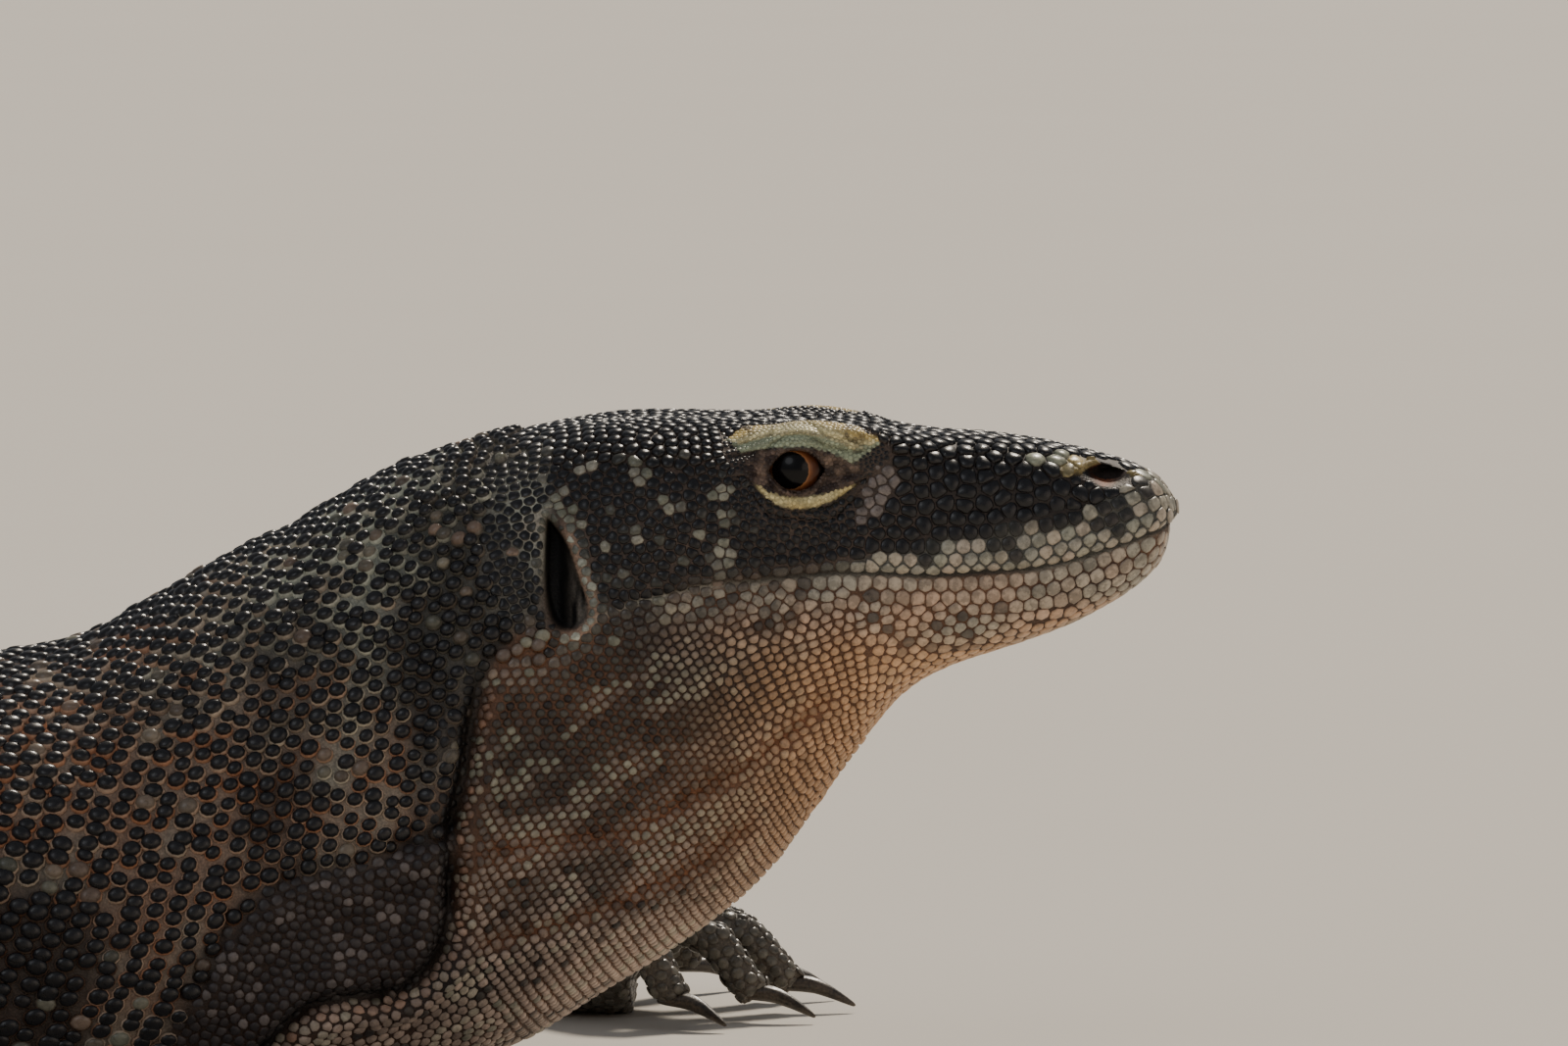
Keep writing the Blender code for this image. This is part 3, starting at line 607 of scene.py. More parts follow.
# The body's cross planes: distance ahead of the belly and height of each plane's top and underside points.
PLANES = np.array((
    (0.7988, 0.2010, 0.7984, 0.1850), (0.7888, 0.2068, 0.7888, 0.1700), (0.7622, 0.2135, 0.7638, 0.1555),
    (0.7247, 0.2178, 0.7294, 0.1440), (0.6841, 0.2236, 0.7038, 0.1240), (0.6403, 0.2235, 0.6903, 0.1050),
    (0.6184, 0.2230, 0.6834, 0.0950), (0.5934, 0.2195, 0.6700, 0.0770), (0.5622, 0.2112, 0.6481, 0.0580),
    (0.5247, 0.1930, 0.6153, 0.0375), (0.4809, 0.1685, 0.5747, 0.0135), (0.4300, 0.1460, 0.5200, 0.0),
    (0.3600, 0.1460, 0.4250, 0.0), (0.2800, 0.1540, 0.3200, 0.0), (0.1850, 0.1660, 0.2050, 0.0),
    (0.0800, 0.1740, 0.0800, 0.0), (-0.0500, 0.1760, -0.0500, 0.0), (-0.1800, 0.1700, -0.1800, 0.0),
    (-0.3800, 0.1480, -0.3800, 0.0), (-0.4600, 0.1280, -0.4600, 0.0), (-1.0, 0.08, -1.0, 0.0),
    (-1.71, 0.0100, -1.71, 0.0)))
# How far the body's line turns from +X, in degrees, at each distance. Ahead of the first it is straight.
TURNS = ((0.30, 0), (0.05, 4), (-0.20, 2), (-0.45, -9), (-0.75, -24), (-1.10, -16), (-1.40, 14), (-1.75, 44))
TURN_STEP = 0.01


def heading_at(a):
    """How far the body's line turns from +X at this distance along it, in radians."""
    if a >= TURNS[0][0]:
        return 0.0
    for (ahead, first), (behind, second) in zip(TURNS, TURNS[1:]):
        if a >= behind:
            part = (ahead - a) / (ahead - behind)
            return radians(first + (second - first) * part * part * (3 - 2 * part))
    return radians(TURNS[-1][1])


def body_line():
    """The middle line seen from above: distance along the body, place, and heading."""
    rows = [(TURNS[0][0], TURNS[0][0], 0.0, 0.0)]
    while rows[-1][0] > TURNS[-1][0]:
        a, x, y, _ = rows[-1]
        turn = heading_at(a - TURN_STEP / 2)
        place = (x - TURN_STEP * cos(turn), y - TURN_STEP * sin(turn))
        rows.append((a - TURN_STEP, *place, heading_at(a - TURN_STEP)))
    return np.array(rows)


BODY_LINE = body_line()


def bent(points):
    """Carries points of the straight body onto the curved one."""
    a, out = points[:, 0], points[:, 1]
    back = BODY_LINE[::-1]
    x, y, turn = (np.interp(a, back[:, 0], back[:, i]) for i in (1, 2, 3))
    straight = a >= TURNS[0][0]
    x, y, turn = np.where(straight, a, x), np.where(straight, 0, y), np.where(straight, 0, turn)
    return np.stack((x - out * np.sin(turn), y + out * np.cos(turn), points[:, 2]), axis=1)


def straightened(points):
    """Distance along the body, distance out from its middle line and height of points on the curved body."""
    out = points.copy()
    rear = np.flatnonzero(points[:, 0] < TURNS[0][0])
    for start in range(0, len(rear), 20000):
        rows = rear[start:start + 20000]
        gap = points[rows, None, :2] - BODY_LINE[None, :, 1:3]
        near = np.argmin((gap ** 2).sum(axis=2), axis=1)
        a, x, y, turn = BODY_LINE[near].T
        dx, dy = points[rows, 0] - x, points[rows, 1] - y
        out[rows, 0] = a + dx * np.cos(turn) + dy * np.sin(turn)
        out[rows, 1] = -dx * np.sin(turn) + dy * np.cos(turn)
    return out


def body_way(points):
    """The direction towards the snout at each point, along the body and the neck's slope."""
    back = BODY_LINE[::-1]
    turn = np.interp(straightened(points)[:, 0], back[:, 0], back[:, 3])
    turn = np.where(points[:, 0] >= TURNS[0][0], 0, turn)
    rise = 0.45 * smooth(0.44, 0.52, points[:, 0]) * (1 - smooth(0.58, 0.62, points[:, 0]))
    rise -= 0.14 * smooth(0.69, 0.73, points[:, 0])
    return np.stack((np.cos(turn), np.sin(turn), rise), axis=1)


# ---------------------------------------------------------------- colours and markings

BLACK, SOOT, TEMPLE_BROWN = linear("#0b0b11"), linear("#161417"), linear("#171415")
PALE_SCALE, PALE_PINK, LIP_GREY = linear("#abad97"), linear("#978b85"), linear("#a8a69a")
CREAM, CREAM_YELLOW = linear("#f2e7b4"), linear("#d8b862")
PALE_BLUE, LID_BROWN = linear("#adb79a"), linear("#33211a")
# the jaw's tan and grey and the chin's orange are their own colours, made brighter as painted light for warm
# light bounced up from the floor
JAW_TAN, JAW_GREY, CHIN_ORANGE = linear("#c9aa92"), linear("#aea899"), linear("#ecba8a")
THROAT_TAN, THROAT_DARK, THROAT_RIM = linear("#7f6f64"), linear("#2d2523"), linear("#74513a")
RIM_GREEN, RIM_TAN = linear("#dcdfce"), linear("#cdac94")
RIM_ORANGE, RIM_DARK = linear("#bd7a50"), linear("#3a2e28")
FOLD_PURPLE, TRUNK_BROWN, TRUNK_PALE = linear("#2c2628"), linear("#2b2624"), linear("#6d6250")
LEG_BLACK, LEG_PALE, BELLY_TAN = linear("#232224"), linear("#787468"), linear("#6f6250")
# the first of these is a near-black painted shade for the depths of the nostril and ear and the mouth's seam
RECESS_SHADE, NOSTRIL_RED, DRUM_GREY = linear("#080706"), linear("#9c5a3a"), linear("#6e675f")


def head_height(points):
    """Height above the closed mouth."""
    return points[:, 2] - np.interp(TIP - points[:, 0], MOUTH_LINE[::-1, 0], MOUTH_LINE[::-1, 1])


def collar_side(points):
    """How far behind the throat's fold a point is; ahead of it is negative."""
    return line_distance(TIP - points[:, 0], points[:, 2], COLLAR_LINE)[1]


def between_folds(points):
    """1 in the slack skin under the neck's side fold and behind the throat's fold."""
    behind, out, height = side_view(points)
    _, signed = line_distance(behind, height, SIDE_FOLD)
    slack = smooth(-0.002, 0.004, -signed) * smooth(0.0, 0.004, collar_side(points))
    return slack * (1 - smooth(0.31, 0.34, behind)) * (height < 0.11) * (out < NECK_HALF)


def lid_bands(points):
    """Millimetres ahead of and above the eye, and how far across the lids' pale fields a point is.

    The upper lid's field runs from its lower edge (0) to the brow (1), and the lower lid's is a crescent.
    """
    ahead, up, _, _ = lid_place(points)
    s, t = ahead * 1000, up * 1000
    edge = 7.6 - np.where(s < 1, 0.0055, 0.019) * (s - 1) ** 2
    edge += np.maximum(0, -17.4 - s) * 1.2 + np.maximum(0, s - 18.5) * 1.6
    brow = 18.4 - 9.5 * ((s - 2) / 25) ** 2
    inner = -7.9 + np.where(s < 1, 3.2 * ((s - 1) / 11.5) ** 2, 2.4 * ((s - 1) / 13.8) ** 2)
    outer = -11.8 + 7.3 * ((s - 1) / np.where(s < 1, 13.9, 18.5)) ** 2
    near = (side_distance(points, EYE) < 0.036) & (np.abs(points[:, 1]) > 0.018)
    return s, t, (t - edge) / np.maximum(brow - edge, 0.4), (inner - t) / np.maximum(inner - outer, 0.4), near


def lid_colours(points):
    """Cream lids with a yellow outer band, brown specks and a pale green inner band, and where they cover."""
    s, _, field, crescent, near = lid_bands(points)
    spots, broad = grain(points, 0.0020, 5.0), grain(points, 0.0060, 7.0)
    colour = mix(PALE_BLUE, CREAM, smooth(0.32, 0.42, field))
    colour = mix(colour, CREAM_YELLOW, smooth(0.58, 0.78, field) * 0.75)
    # painted shade: brown lines along the upper lid's creases
    for crease, deep in ((0.20, 0.35), (0.42, 0.60), (0.64, 0.40)):
        colour = mix(colour, LID_BROWN, deep * hump(field, crease, 0.028))
    brown = smooth(0.25, 0.70, spots + 0.5 * broad) * (0.06 + 0.80 * smooth(0.55, 0.90, field))
    front_blotch = smooth(7, 13, s) * (1 - smooth(18, 24, s)) * smooth(0.05, 0.5, broad + 0.4 * spots) * 0.75
    colour = mix(colour, LID_BROWN, np.maximum(brown, front_blotch))
    upper = smooth(-0.03, 0.05, field) * (1 - smooth(0.92, 1.05, field + 0.08 * spots))
    upper = upper * (1 - smooth(23.5, 26.5, np.abs(s - 3)))
    lower = smooth(-0.05, 0.15, crescent) * (1 - smooth(0.85, 1.08, crescent + 0.14 * spots))
    lower = lower * (1 - smooth(13.5, 16.5, np.abs(s - 3)))
    upper = upper * smooth(0.0276, 0.0290, np.abs(points[:, 1]) + 0.0010 * broad)
    below = mix(CREAM, CREAM_YELLOW, np.clip(0.35 + 0.4 * broad, 0, 1))
    return np.where((field > -0.1)[:, None], colour, below), np.maximum(upper, lower) * near


def ring_dark(points):
    """The dark brown skin along the lids' edges and in the corners of the eye, deepened as painted shade in
    these recesses.
    """
    s, t, field, crescent, near = lid_bands(points)
    between = near * (1 - smooth(-0.10, 0.02, field)) * (1 - smooth(-0.12, 0.05, crescent))
    return between * (1 - smooth(15, 21, np.abs(s - 2))) * (np.abs(t) < 9)


class Places:
    """Points on the animal, with what the markings need to know of each and three random values for each."""
    def __init__(self, points, draws):
        at = straightened(points)
        self.points = points
        self.a, self.side, self.out = at[:, 0], at[:, 1], np.abs(at[:, 1])
        self.x, self.z = points[:, 0], at[:, 2]
        self.lift = head_height(points)
        self.behind_fold = collar_side(points)
        self.broad, self.patch = grain(points, 0.045, 1.0), grain(points, 0.014, 3.0)
        self.pick, self.second, self.third = draws.T
        self.inner = 1 - smooth(0.118, 0.140, self.out)


def layered(under, over, share):
    """Lays one pair of colours, the scale's and its rim's, over another."""
    return mix(under[0], over[0], share), mix(under[1], over[1], share)


def trunk_and_legs(p):
    """Dark scales in brown skin with faint bands, a paler belly, and black legs with grey feet."""
    scale = mix(TRUNK_BROWN, SOOT, np.clip(0.5 + p.broad, 0, 1))
    bands = 0.5 + 0.5 * np.sin(p.a * 46 + 2 * p.broad)
    speckle = (p.second < 0.10 + 0.14 * bands) & (p.z > 0.02)
    scale = mix(scale, TRUNK_PALE, np.where(speckle, 0.75, 0.0))
    rim = mix(RIM_DARK, RIM_TAN, np.clip(0.35 + 0.5 * p.broad + 0.3 * p.patch, 0, 1) * 0.7)
    limb = (p.out > 0.150) | ((p.out > 0.105) & (p.a > 0.26) & (p.a < 0.75))
    scale = mix(scale, mix(LEG_BLACK, LEG_PALE, np.where(p.pick < 0.16, 0.7, 0.10)), limb * 0.9)
    rim = mix(rim, mix(LEG_BLACK, LEG_PALE, 0.30), limb * 0.8)
    scale = mix(scale, BELLY_TAN, (1 - smooth(0.006, 0.030, p.z)) * 0.5 * ~limb)
    paw = nearness(p.points, FOOT_NODES, 0.03)
    return mix(scale, LEG_PALE, paw * (0.30 + 0.35 * p.third)), mix(rim, LEG_PALE, paw * 0.25)


def neck_colours(p):
    """Glossy black beads in pale skin, greener towards the nape and more orange down the side."""
    nape = smooth(0.42, 0.55, p.x + 0.25 * (p.z - 0.15)) * smooth(0.09, 0.19, p.z)
    pale_bead = p.second < 0.015 + 0.50 * np.clip(p.patch - 0.18, 0, 1)
    bead = mix(mix(BLACK, SOOT, p.third), mix(RIM_TAN, PALE_SCALE, p.pick),
               np.where(pale_bead, 0.20 + 0.25 * p.third, 0.0))
    rim = mix(RIM_TAN, RIM_GREEN, np.clip(0.15 + nape + 0.5 * p.patch, 0, 1))
    rim = mix(rim, RIM_ORANGE, np.where(p.pick < 0.30, 0.7, 0.10) * (1 - 0.7 * nape))
    # the rims darken in random patches, and as painted shade beside the throat's fold; they are also darker
    # low down the neck and a little lighter at the nape
    shade = 0.16 - 1.3 * p.broad + 0.8 * (p.third - 0.5) + 1.0 * hump(p.behind_fold, 0.010, 0.018)
    shade = shade + 0.3 * (1 - smooth(0.05, 0.11, p.z)) - 0.2 * nape
    return bead, mix(rim, RIM_DARK, np.clip(shade, 0, 0.85))


def throat_colours(p):
    """Tan scales in dark streaks, then the paler jaw and the orange chin."""
    edge = 1 - smooth(0.016, 0.040, p.out)
    slope = np.stack((0.35 * (0.88 * p.x + 0.47 * p.z), p.side * 0.6, 0.88 * p.z - 0.47 * p.x), axis=1)
    streak = grain(slope, 0.0085, 21.0)
    rear = (1 - smooth(0.618, 0.660, p.x)) * smooth(0.092, 0.122, p.z)
    dark = np.clip(0.47 + 0.8 * p.broad + 1.1 * streak + 0.50 * rear, 0, 1)
    dark = dark * (1 - smooth(0.67, 0.72, p.x)) * (1 - 0.4 * edge)
    # painted light: low on the throat the tan is brightened and the dark streaks thinned, standing in for
    # warm light bounced up from the floor
    low = 1 - smooth(0.045, 0.115, p.z)
    dark_bead = np.where(p.pick < 0.12 + 0.14 * rear, 0.6, 0)
    bead = mix(THROAT_TAN * (1 + 1.70 * low[:, None]), THROAT_DARK,
               np.clip(dark * (0.92 - 0.45 * low) + dark_bead, 0, 1))
    bead = mix(bead, PALE_SCALE, np.where((p.second < 0.50) & (streak < -0.17), 0.48, 0.10 * p.third))
    jaw = smooth(0.625, 0.665, p.x) * smooth(-0.034, -0.016, p.lift + 0.004 * p.patch)
    greyer = np.clip(0.45 + 0.9 * p.patch + 0.4 * smooth(-0.010, -0.002, p.lift), 0, 1)
    bead = mix(bead, mix(JAW_TAN, JAW_GREY, greyer), jaw)
    under = smooth(0.630, 0.700, p.x) * (1 - smooth(-0.030, -0.013, p.lift + 0.004 * p.patch))
    bead = mix(bead, CHIN_ORANGE, under * 0.72)
    speck = np.where((p.pick < 0.20) & (p.patch > -0.20), 0.78, 0.0)
    bead = mix(bead, THROAT_DARK, speck * jaw * (1 - 0.7 * smooth(0.735, 0.760, p.x)))
    rear_jaw = jaw * (1 - smooth(0.660, 0.700, p.x))
    bead = mix(bead, THROAT_DARK, np.where(p.second > 0.48, 0.68, 0.30) * rear_jaw)
    rim = mix(THROAT_RIM, THROAT_DARK, np.clip(0.34 + 0.8 * p.broad - 0.1 * jaw, 0, 1))
    crease = throat_crease(p.points)
    return mix(bead, THROAT_RIM, 0.45 * crease), mix(rim, RIM_ORANGE, 0.4 * crease)


def darkened_folds(p, scale, rim):
    """Painted shadow in the depth of the neck's two folds."""
    side_away, _ = line_distance(TIP - p.x, p.z, SIDE_FOLD)
    fold_shadow = hump(p.behind_fold, 0.0032, 0.0026) * (p.z < 0.158) * (p.a > NECK_BASE)
    fold_shadow = np.maximum(fold_shadow, 0.8 * hump(side_away, 0, 0.0022) * (p.a > NECK_BASE)) * p.inner
    return scale * (1 - 0.72 * fold_shadow)[:, None], rim * (1 - 0.78 * fold_shadow)[:, None]


def head_colours(p):
    """The head above the mouth: black, with pale flecks on the temple and blotched plates on lips and tip."""
    snout = smooth(0.70, 0.73, p.x)
    crown = mix(BLACK, TEMPLE_BROWN, np.clip(0.35 + 0.6 * p.patch, 0, 1) * (1 - smooth(0.212, 0.219, p.z))
                * (0.8 - 0.6 * snout))
    crown = mix(crown, BLACK, p.third * 0.4)
    temple = (1 - smooth(0.655, 0.668, p.x)) * smooth(0.172, 0.184, p.z) * (1 - smooth(0.210, 0.216, p.z))
    flecks = smooth(0.24, 0.50, grain(p.points, 0.0080, 11.0) + 0.9 * (p.second - 0.5)) * temple
    crown = mix(crown, mix(PALE_SCALE, PALE_PINK, 0.5 * p.third), flecks * (0.45 + 0.5 * p.third))
    up = p.z - 0.200
    before_eye = np.exp(-(((p.x - 0.7045 - 0.25 * up) / 0.0055) ** 2 + (up / 0.011) ** 2))
    pale = np.where((before_eye > 0.35) & (p.second < 0.7), 0.75 * np.clip(before_eye + 0.2, 0, 1), 0.0)
    crown = mix(crown, PALE_PINK, pale)
    lip_top = np.interp(p.x, (0.700, 0.722, 0.745, 0.765, 0.7755, 0.784, 0.792),
                        (0.0035, 0.0095, 0.0120, 0.0130, 0.0137, 0.0175, 0.0270))
    lips = smooth(0.690, 0.700, p.x) * (1 - smooth(lip_top, lip_top + 0.0015, p.lift + 0.003 * p.patch))
    tip = smooth(0.779, 0.791, p.x)
    blotch = grain(p.points, 0.010, 13.0) + 0.5 * (p.pick - 0.5) > 0.22 + 0.35 * tip + 0.5 * (p.lift < 0.0025)
    plate = mix(mix(LIP_GREY, PALE_SCALE, p.second * 0.7), JAW_TAN, 0.45 * p.third)
    plate = mix(plate, BLACK, np.where(blotch, 0.92, 0.0))
    crown = mix(crown, plate, np.clip(lips + np.where(p.second + 0.4 * tip > 0.55, 0.6, 0.1) * tip, 0, 1))
    nostril_rear = np.exp(-(((p.x - 0.759) / 0.009) ** 2 + ((p.z - 0.2085) / 0.0045) ** 2))
    crown = mix(crown, PALE_SCALE, np.where((nostril_rear > 0.4) & (p.second < 0.7), 0.9, 0.0))
    rear_lip = (1 - smooth(0.690, 0.705, p.x)) * smooth(0.636, 0.655, p.x)
    rear_lip = rear_lip * (1 - smooth(0.0020, 0.0035, p.lift))
    crown = mix(crown, mix(JAW_TAN, LIP_GREY, p.second), rear_lip * 0.16)
    rim = mix(TEMPLE_BROWN, RIM_TAN, (0.11 + 0.10 * np.clip(p.patch, 0, 1)) * (1 - 0.7 * snout))
    return crown, mix(rim, LIP_GREY * 0.30, lips)


def nostril_colours(p, scale, rim):
    """Cream scales over each nostril, the red and grey of its inside, and painted shade: darker skin round
    the opening and near black towards its deep back end.
    """
    ring = nostril_ring(p.points)
    near = (p.out > 0.012) & (p.x > 0.6)
    top = (ring < 2.3) * smooth(-0.0010, 0.0010, above_nostril(p.points)) * near
    # painted shade on the skin round the opening
    rim = mix(rim, LID_BROWN * 0.5, (ring < 1.5) * near * 0.9)
    cream = mix(CREAM_YELLOW, CREAM, 0.6 * p.second) * 0.8
    scale, rim = mix(scale, cream, top * np.where(p.pick < 0.2, 0.4, 0.9)), mix(rim, cream * 0.6, top * 0.8)
    # painted shade: the inside turns near black towards the deep back end of the opening
    depth = 1 - smooth(-0.9, 0.2, (p.x - NOSTRIL[0]) / NOSTRIL_HALF[0])
    wall = mix(NOSTRIL_RED, DRUM_GREY, smooth(0.2, 1.0, (p.x - NOSTRIL[0] - p.z + NOSTRIL[2]) / 0.007))
    return scale, mix(rim, mix(wall, RECESS_SHADE, depth), (ring < 1.05) * near)


def ear_colours(p, scale, rim):
    """The ear's inside, painted near black as shade apart from its grey drum, and the pale rim in front of
    it.
    """
    near = around(p.points, EAR, 0.03, 0.04) & (p.out > 0.03)
    inside, across = ear_field(p.points)
    mottle = grain(p.points * np.array((2.2, 1.0, 0.5)), 0.0040, 19.0)
    drum = smooth(0.45, 0.95, across) * np.clip(0.7 + 1.2 * mottle, 0, 1)
    # painted shade inside the slit, with the grey drum towards its front
    rim = mix(rim, mix(RECESS_SHADE, DRUM_GREY, drum), near * smooth(-0.0004, 0.0006, inside))
    front = near * smooth(0.30, 0.80, across) * hump(inside, -0.0016, 0.0022) * (inside < 0)
    scale = mix(scale, RIM_GREEN * 0.75, front * np.clip(0.3 + 0.9 * p.third, 0, 1))
    return scale, mix(rim, RIM_TAN * 0.8, front * 0.8)


def markings(points, draws):
    """The colour of a scale at each point and of the skin round it, from three random values for each."""
    p = Places(points, draws)
    both = layered(trunk_and_legs(p), neck_colours(p), smooth(0.26, 0.40, p.a) * p.inner)
    slack = between_folds(points)
    slack_scale = mix(FOLD_PURPLE, PALE_PINK, np.where(p.second < 0.15, 0.45, 0.10 * p.third))
    both = layered(both, (slack_scale, THROAT_RIM * 0.40), slack)
    throat = (1 - smooth(-0.002, 0.003, p.behind_fold)) * (1 - smooth(-0.003, 0.002, p.lift))
    scale, rim = layered(both, throat_colours(p), throat * smooth(0.40, 0.50, p.a) * p.inner)
    # paler scales on the throat's lip of the fold: their own pale and orange colours, strengthened as painted
    # light on the lit ridge
    lip_of_fold = hump(p.behind_fold, -0.0022, 0.0024) * (p.z < 0.150) * (p.a > NECK_BASE) * p.inner
    lip_scale = mix(THROAT_TAN, RIM_ORANGE, 0.5 * p.third)
    lip_scale = mix(lip_scale, PALE_SCALE, np.where(p.second < 0.3, 0.7, 0.0))
    both = darkened_folds(p, mix(scale, lip_scale, lip_of_fold * 0.60), rim)
    head = smooth(0.592, 0.604, p.x) * smooth(-0.001, 0.001, p.lift) * p.inner
    scale, rim = layered(both, head_colours(p), head)
    # painted shade: a dark line along the seam of the closed mouth
    gape = hump(p.lift, 0, 0.0011) * smooth(0.650, 0.675, p.x) * p.inner
    rim = mix(rim, RECESS_SHADE * 2, 0.85 * gape)
    lid, cover = lid_colours(points)
    both = layered((scale, rim), (lid, lid * 0.85), cover)
    # dark brown along the lids' edges and in the eye's corners, partly painted shade
    corner = mix(LID_BROWN * 0.8, RIM_TAN * 0.5, np.clip(0.25 + 0.6 * grain(points, 0.003, 17.0), 0, 1))
    scale, rim = layered(both, (corner, corner), ring_dark(points))
    return ear_colours(p, *nostril_colours(p, scale, rim))


# ---------------------------------------------------------------- where the scales sit

class Skin:
    """The finished skin as arrays and a tree, to set scales on."""
    def __init__(self, thing):
        mesh = thing.data
        mesh.calc_loop_triangles()
        self.points = np.empty(len(mesh.vertices) * 3)
        mesh.vertices.foreach_get("co", self.points)
        self.points = self.points.reshape(-1, 3)
        self.faces = np.empty(len(mesh.loop_triangles) * 3, int)
        mesh.loop_triangles.foreach_get("vertices", self.faces)
        self.faces = self.faces.reshape(-1, 3)
        self.normals = np.array([vert.normal for vert in mesh.vertices])
        self.tree = BVHTree.FromPolygons([tuple(p) for p in self.points], [tuple(f) for f in self.faces])

    def snap(self, points, reach=0.006):
        """The nearest skin to each point, its smooth normal there, and whether it is within reach."""
        spots, normals = np.array(points, float), np.zeros((len(points), 3))
        found = np.zeros(len(points), bool)
        for i, point in enumerate(points):
            spot, _, face, away = self.tree.find_nearest(Vector(point), reach)
            if spot is None:
                continue
            corners = self.faces[face]
            weight = 1 / (np.linalg.norm(self.points[corners] - np.array(spot), axis=1) + 1e-5)
            normal = (self.normals[corners] * weight[:, None]).sum(axis=0)
            spots[i], normals[i], found[i] = spot, normal / np.linalg.norm(normal), True
        return spots, normals, found


def plane_at(a):
    """Top and underside points of the cross plane whose top is at distance a."""
    order = PLANES[::-1]
    return (np.array((a, np.interp(a, order[:, 0], order[:, 1]))),
            np.array((np.interp(a, order[:, 0], order[:, 2]), np.interp(a, order[:, 0], order[:, 3]))))


def ring_outline(tree, a, rays=120):
    """One side of the body's outline on a cross plane, from the top down, as straight-body points."""
    top, under = plane_at(a)
    middle = 0.5 * (top + under)
    up = (top - under) / np.linalg.norm(top - under)
    centre = Vector(bent(np.array(((middle[0], 0.0, middle[1]),)))[0])
    heading = heading_at(middle[0])
    out = []
    for i in range(rays + 1):
        turn = pi * i / rays
        ahead, side, rise = up[0] * cos(turn), sin(turn), up[1] * cos(turn)
        way = Vector((ahead * cos(heading) - side * sin(heading),
                      ahead * sin(heading) + side * cos(heading), rise))
        hit = tree.ray_cast(centre, way, 0.4)[0]
        if hit is None:
            continue
        far = (hit - centre).length
        out.append((middle[0] + ahead * far, side * far, middle[1] + rise * far))
    return np.array(out)


def row_sites(tree, start, end, along, around):
    """Scales in rings round the body, each ring shifted half a place against the last."""
    sites = []
    a, row = start, 0
    while a > end:
        outline = ring_outline(tree, a)
        step = np.linalg.norm(np.diff(outline, axis=0), axis=1)
        middle = 0.5 * (outline[1:] + outline[:-1])
        count = np.concatenate(([0], np.cumsum(step / around(middle))))
        for number in np.arange(0.5 * (row % 2), count[-1], 1.0):
            spot = [np.interp(number, count, outline[:, axis]) for axis in range(3)]
            sites.append(spot)
            if spot[1] > 0.001:
                sites.append([spot[0], -spot[1], spot[2]])
        a -= along(a)
        row += 1
    return np.array(sites)


def body_pitch(a):
    """The spacing of scales on the neck, trunk and tail, from small at the nape to large on the back."""
    return np.interp(a, (-1.71, -1.2, -0.5, 0.0, 0.30, 0.45, 0.56, 0.62),
                     (0.0045, 0.0066, 0.0080, 0.0084, 0.0070, 0.0056, 0.0047, 0.0041))


def lattice_neck(tree):
    """The body's rings of scales; each scale is longer than it is wide, and less so at the nape."""
    def around(points):
        low = 1 - smooth(0.02, 0.11, points[:, 2])
        stretch = np.interp(points[:, 0], (0.45, 0.58), (1.66, 1.80))
        return stretch * body_pitch(points[:, 0]) * (1 - 0.12 * low)

    def along(a):
        return float(np.interp(a, (0.45, 0.58), (0.60, 0.555)) * body_pitch(a))
    return bent(row_sites(tree, 0.600, -1.70, along, around))


def lattice_throat(tree):
    """Rings of small scales under the jaw and down the throat."""
    return row_sites(tree, 0.700, 0.50, lambda a: 0.0032, lambda points: np.full(len(points), 0.0029))


def pitch_at(points):
    """The spacing of loose scales: tiny on the lids, small round eye and ear, larger on snout and legs."""
    x, out, z = points[:, 0], np.abs(points[:, 1]), points[:, 2]
    lift = head_height(points)
    at = straightened(points)
    far = np.abs(at[:, 1])
    pitch = np.where((at[:, 0] < 0.5) & (far > 0.22), 0.0058, 0.95 * body_pitch(at[:, 0]))
    pitch = mix(pitch, 0.0038, nearness(points, FOOT_NODES, 0.03))
    collar = collar_side(points)
    slack = (np.abs(collar) < 0.012) | (between_folds(points) > 0.5)
    pitch = np.where((x > NECK_BASE) & (out < NECK_HALF) & (z < 0.156) & slack, 0.0031, pitch)
    head = (x > HEAD_BASE) & (out < 0.075)
    side = np.interp(x, (0.60, 0.64, 0.68, 0.72, 0.76, 0.80),
                     (0.0031, 0.0030, 0.0033, 0.0046, 0.0048, 0.0042))
    top = np.interp(x, (0.58, 0.64, 0.70, 0.76, 0.80), (0.0041, 0.0039, 0.0042, 0.0050, 0.0040))
    jaw = np.interp(x, (0.60, 0.66, 0.72, 0.78), (0.0030, 0.0031, 0.0034, 0.0042))
    own = np.where(lift < -0.001, jaw, mix(side, top, smooth(0.208, 0.214, z)))
    near = side_distance(points, EYE)
    _, _, field, crescent, _ = lid_bands(points)
    lids = (out > 0.0277) & (near < 0.030) & (np.abs(x - EYE[0] - 0.003) < 0.026)
    lids &= (field < 1.03) & (crescent < 1.25)
    round_eye = np.minimum(own, 0.0021 + 0.10 * np.maximum(near - 0.018, 0))
    own = np.where(lids, 0.00125, np.where((out > 0.020) & (near < 0.032), round_eye, own))
    ear = np.where(around(points, EAR, 0.03, 0.035), -ear_field(points)[0], 1.0)
    own = np.where((ear < 0.008) & (out > 0.03), np.minimum(own, 0.0020 + 0.20 * np.maximum(ear, 0)), own)
    own = np.where((nostril_ring(points) < 1.8) & (out > 0.012), np.minimum(own, 0.0024), own)
    pitch = np.where(head, own, pitch)
    throat = (x > 0.46) & (collar < 0.002) & (lift < 0) & (out < NECK_HALF)
    return np.where(throat & ~head, 0.0032, pitch)


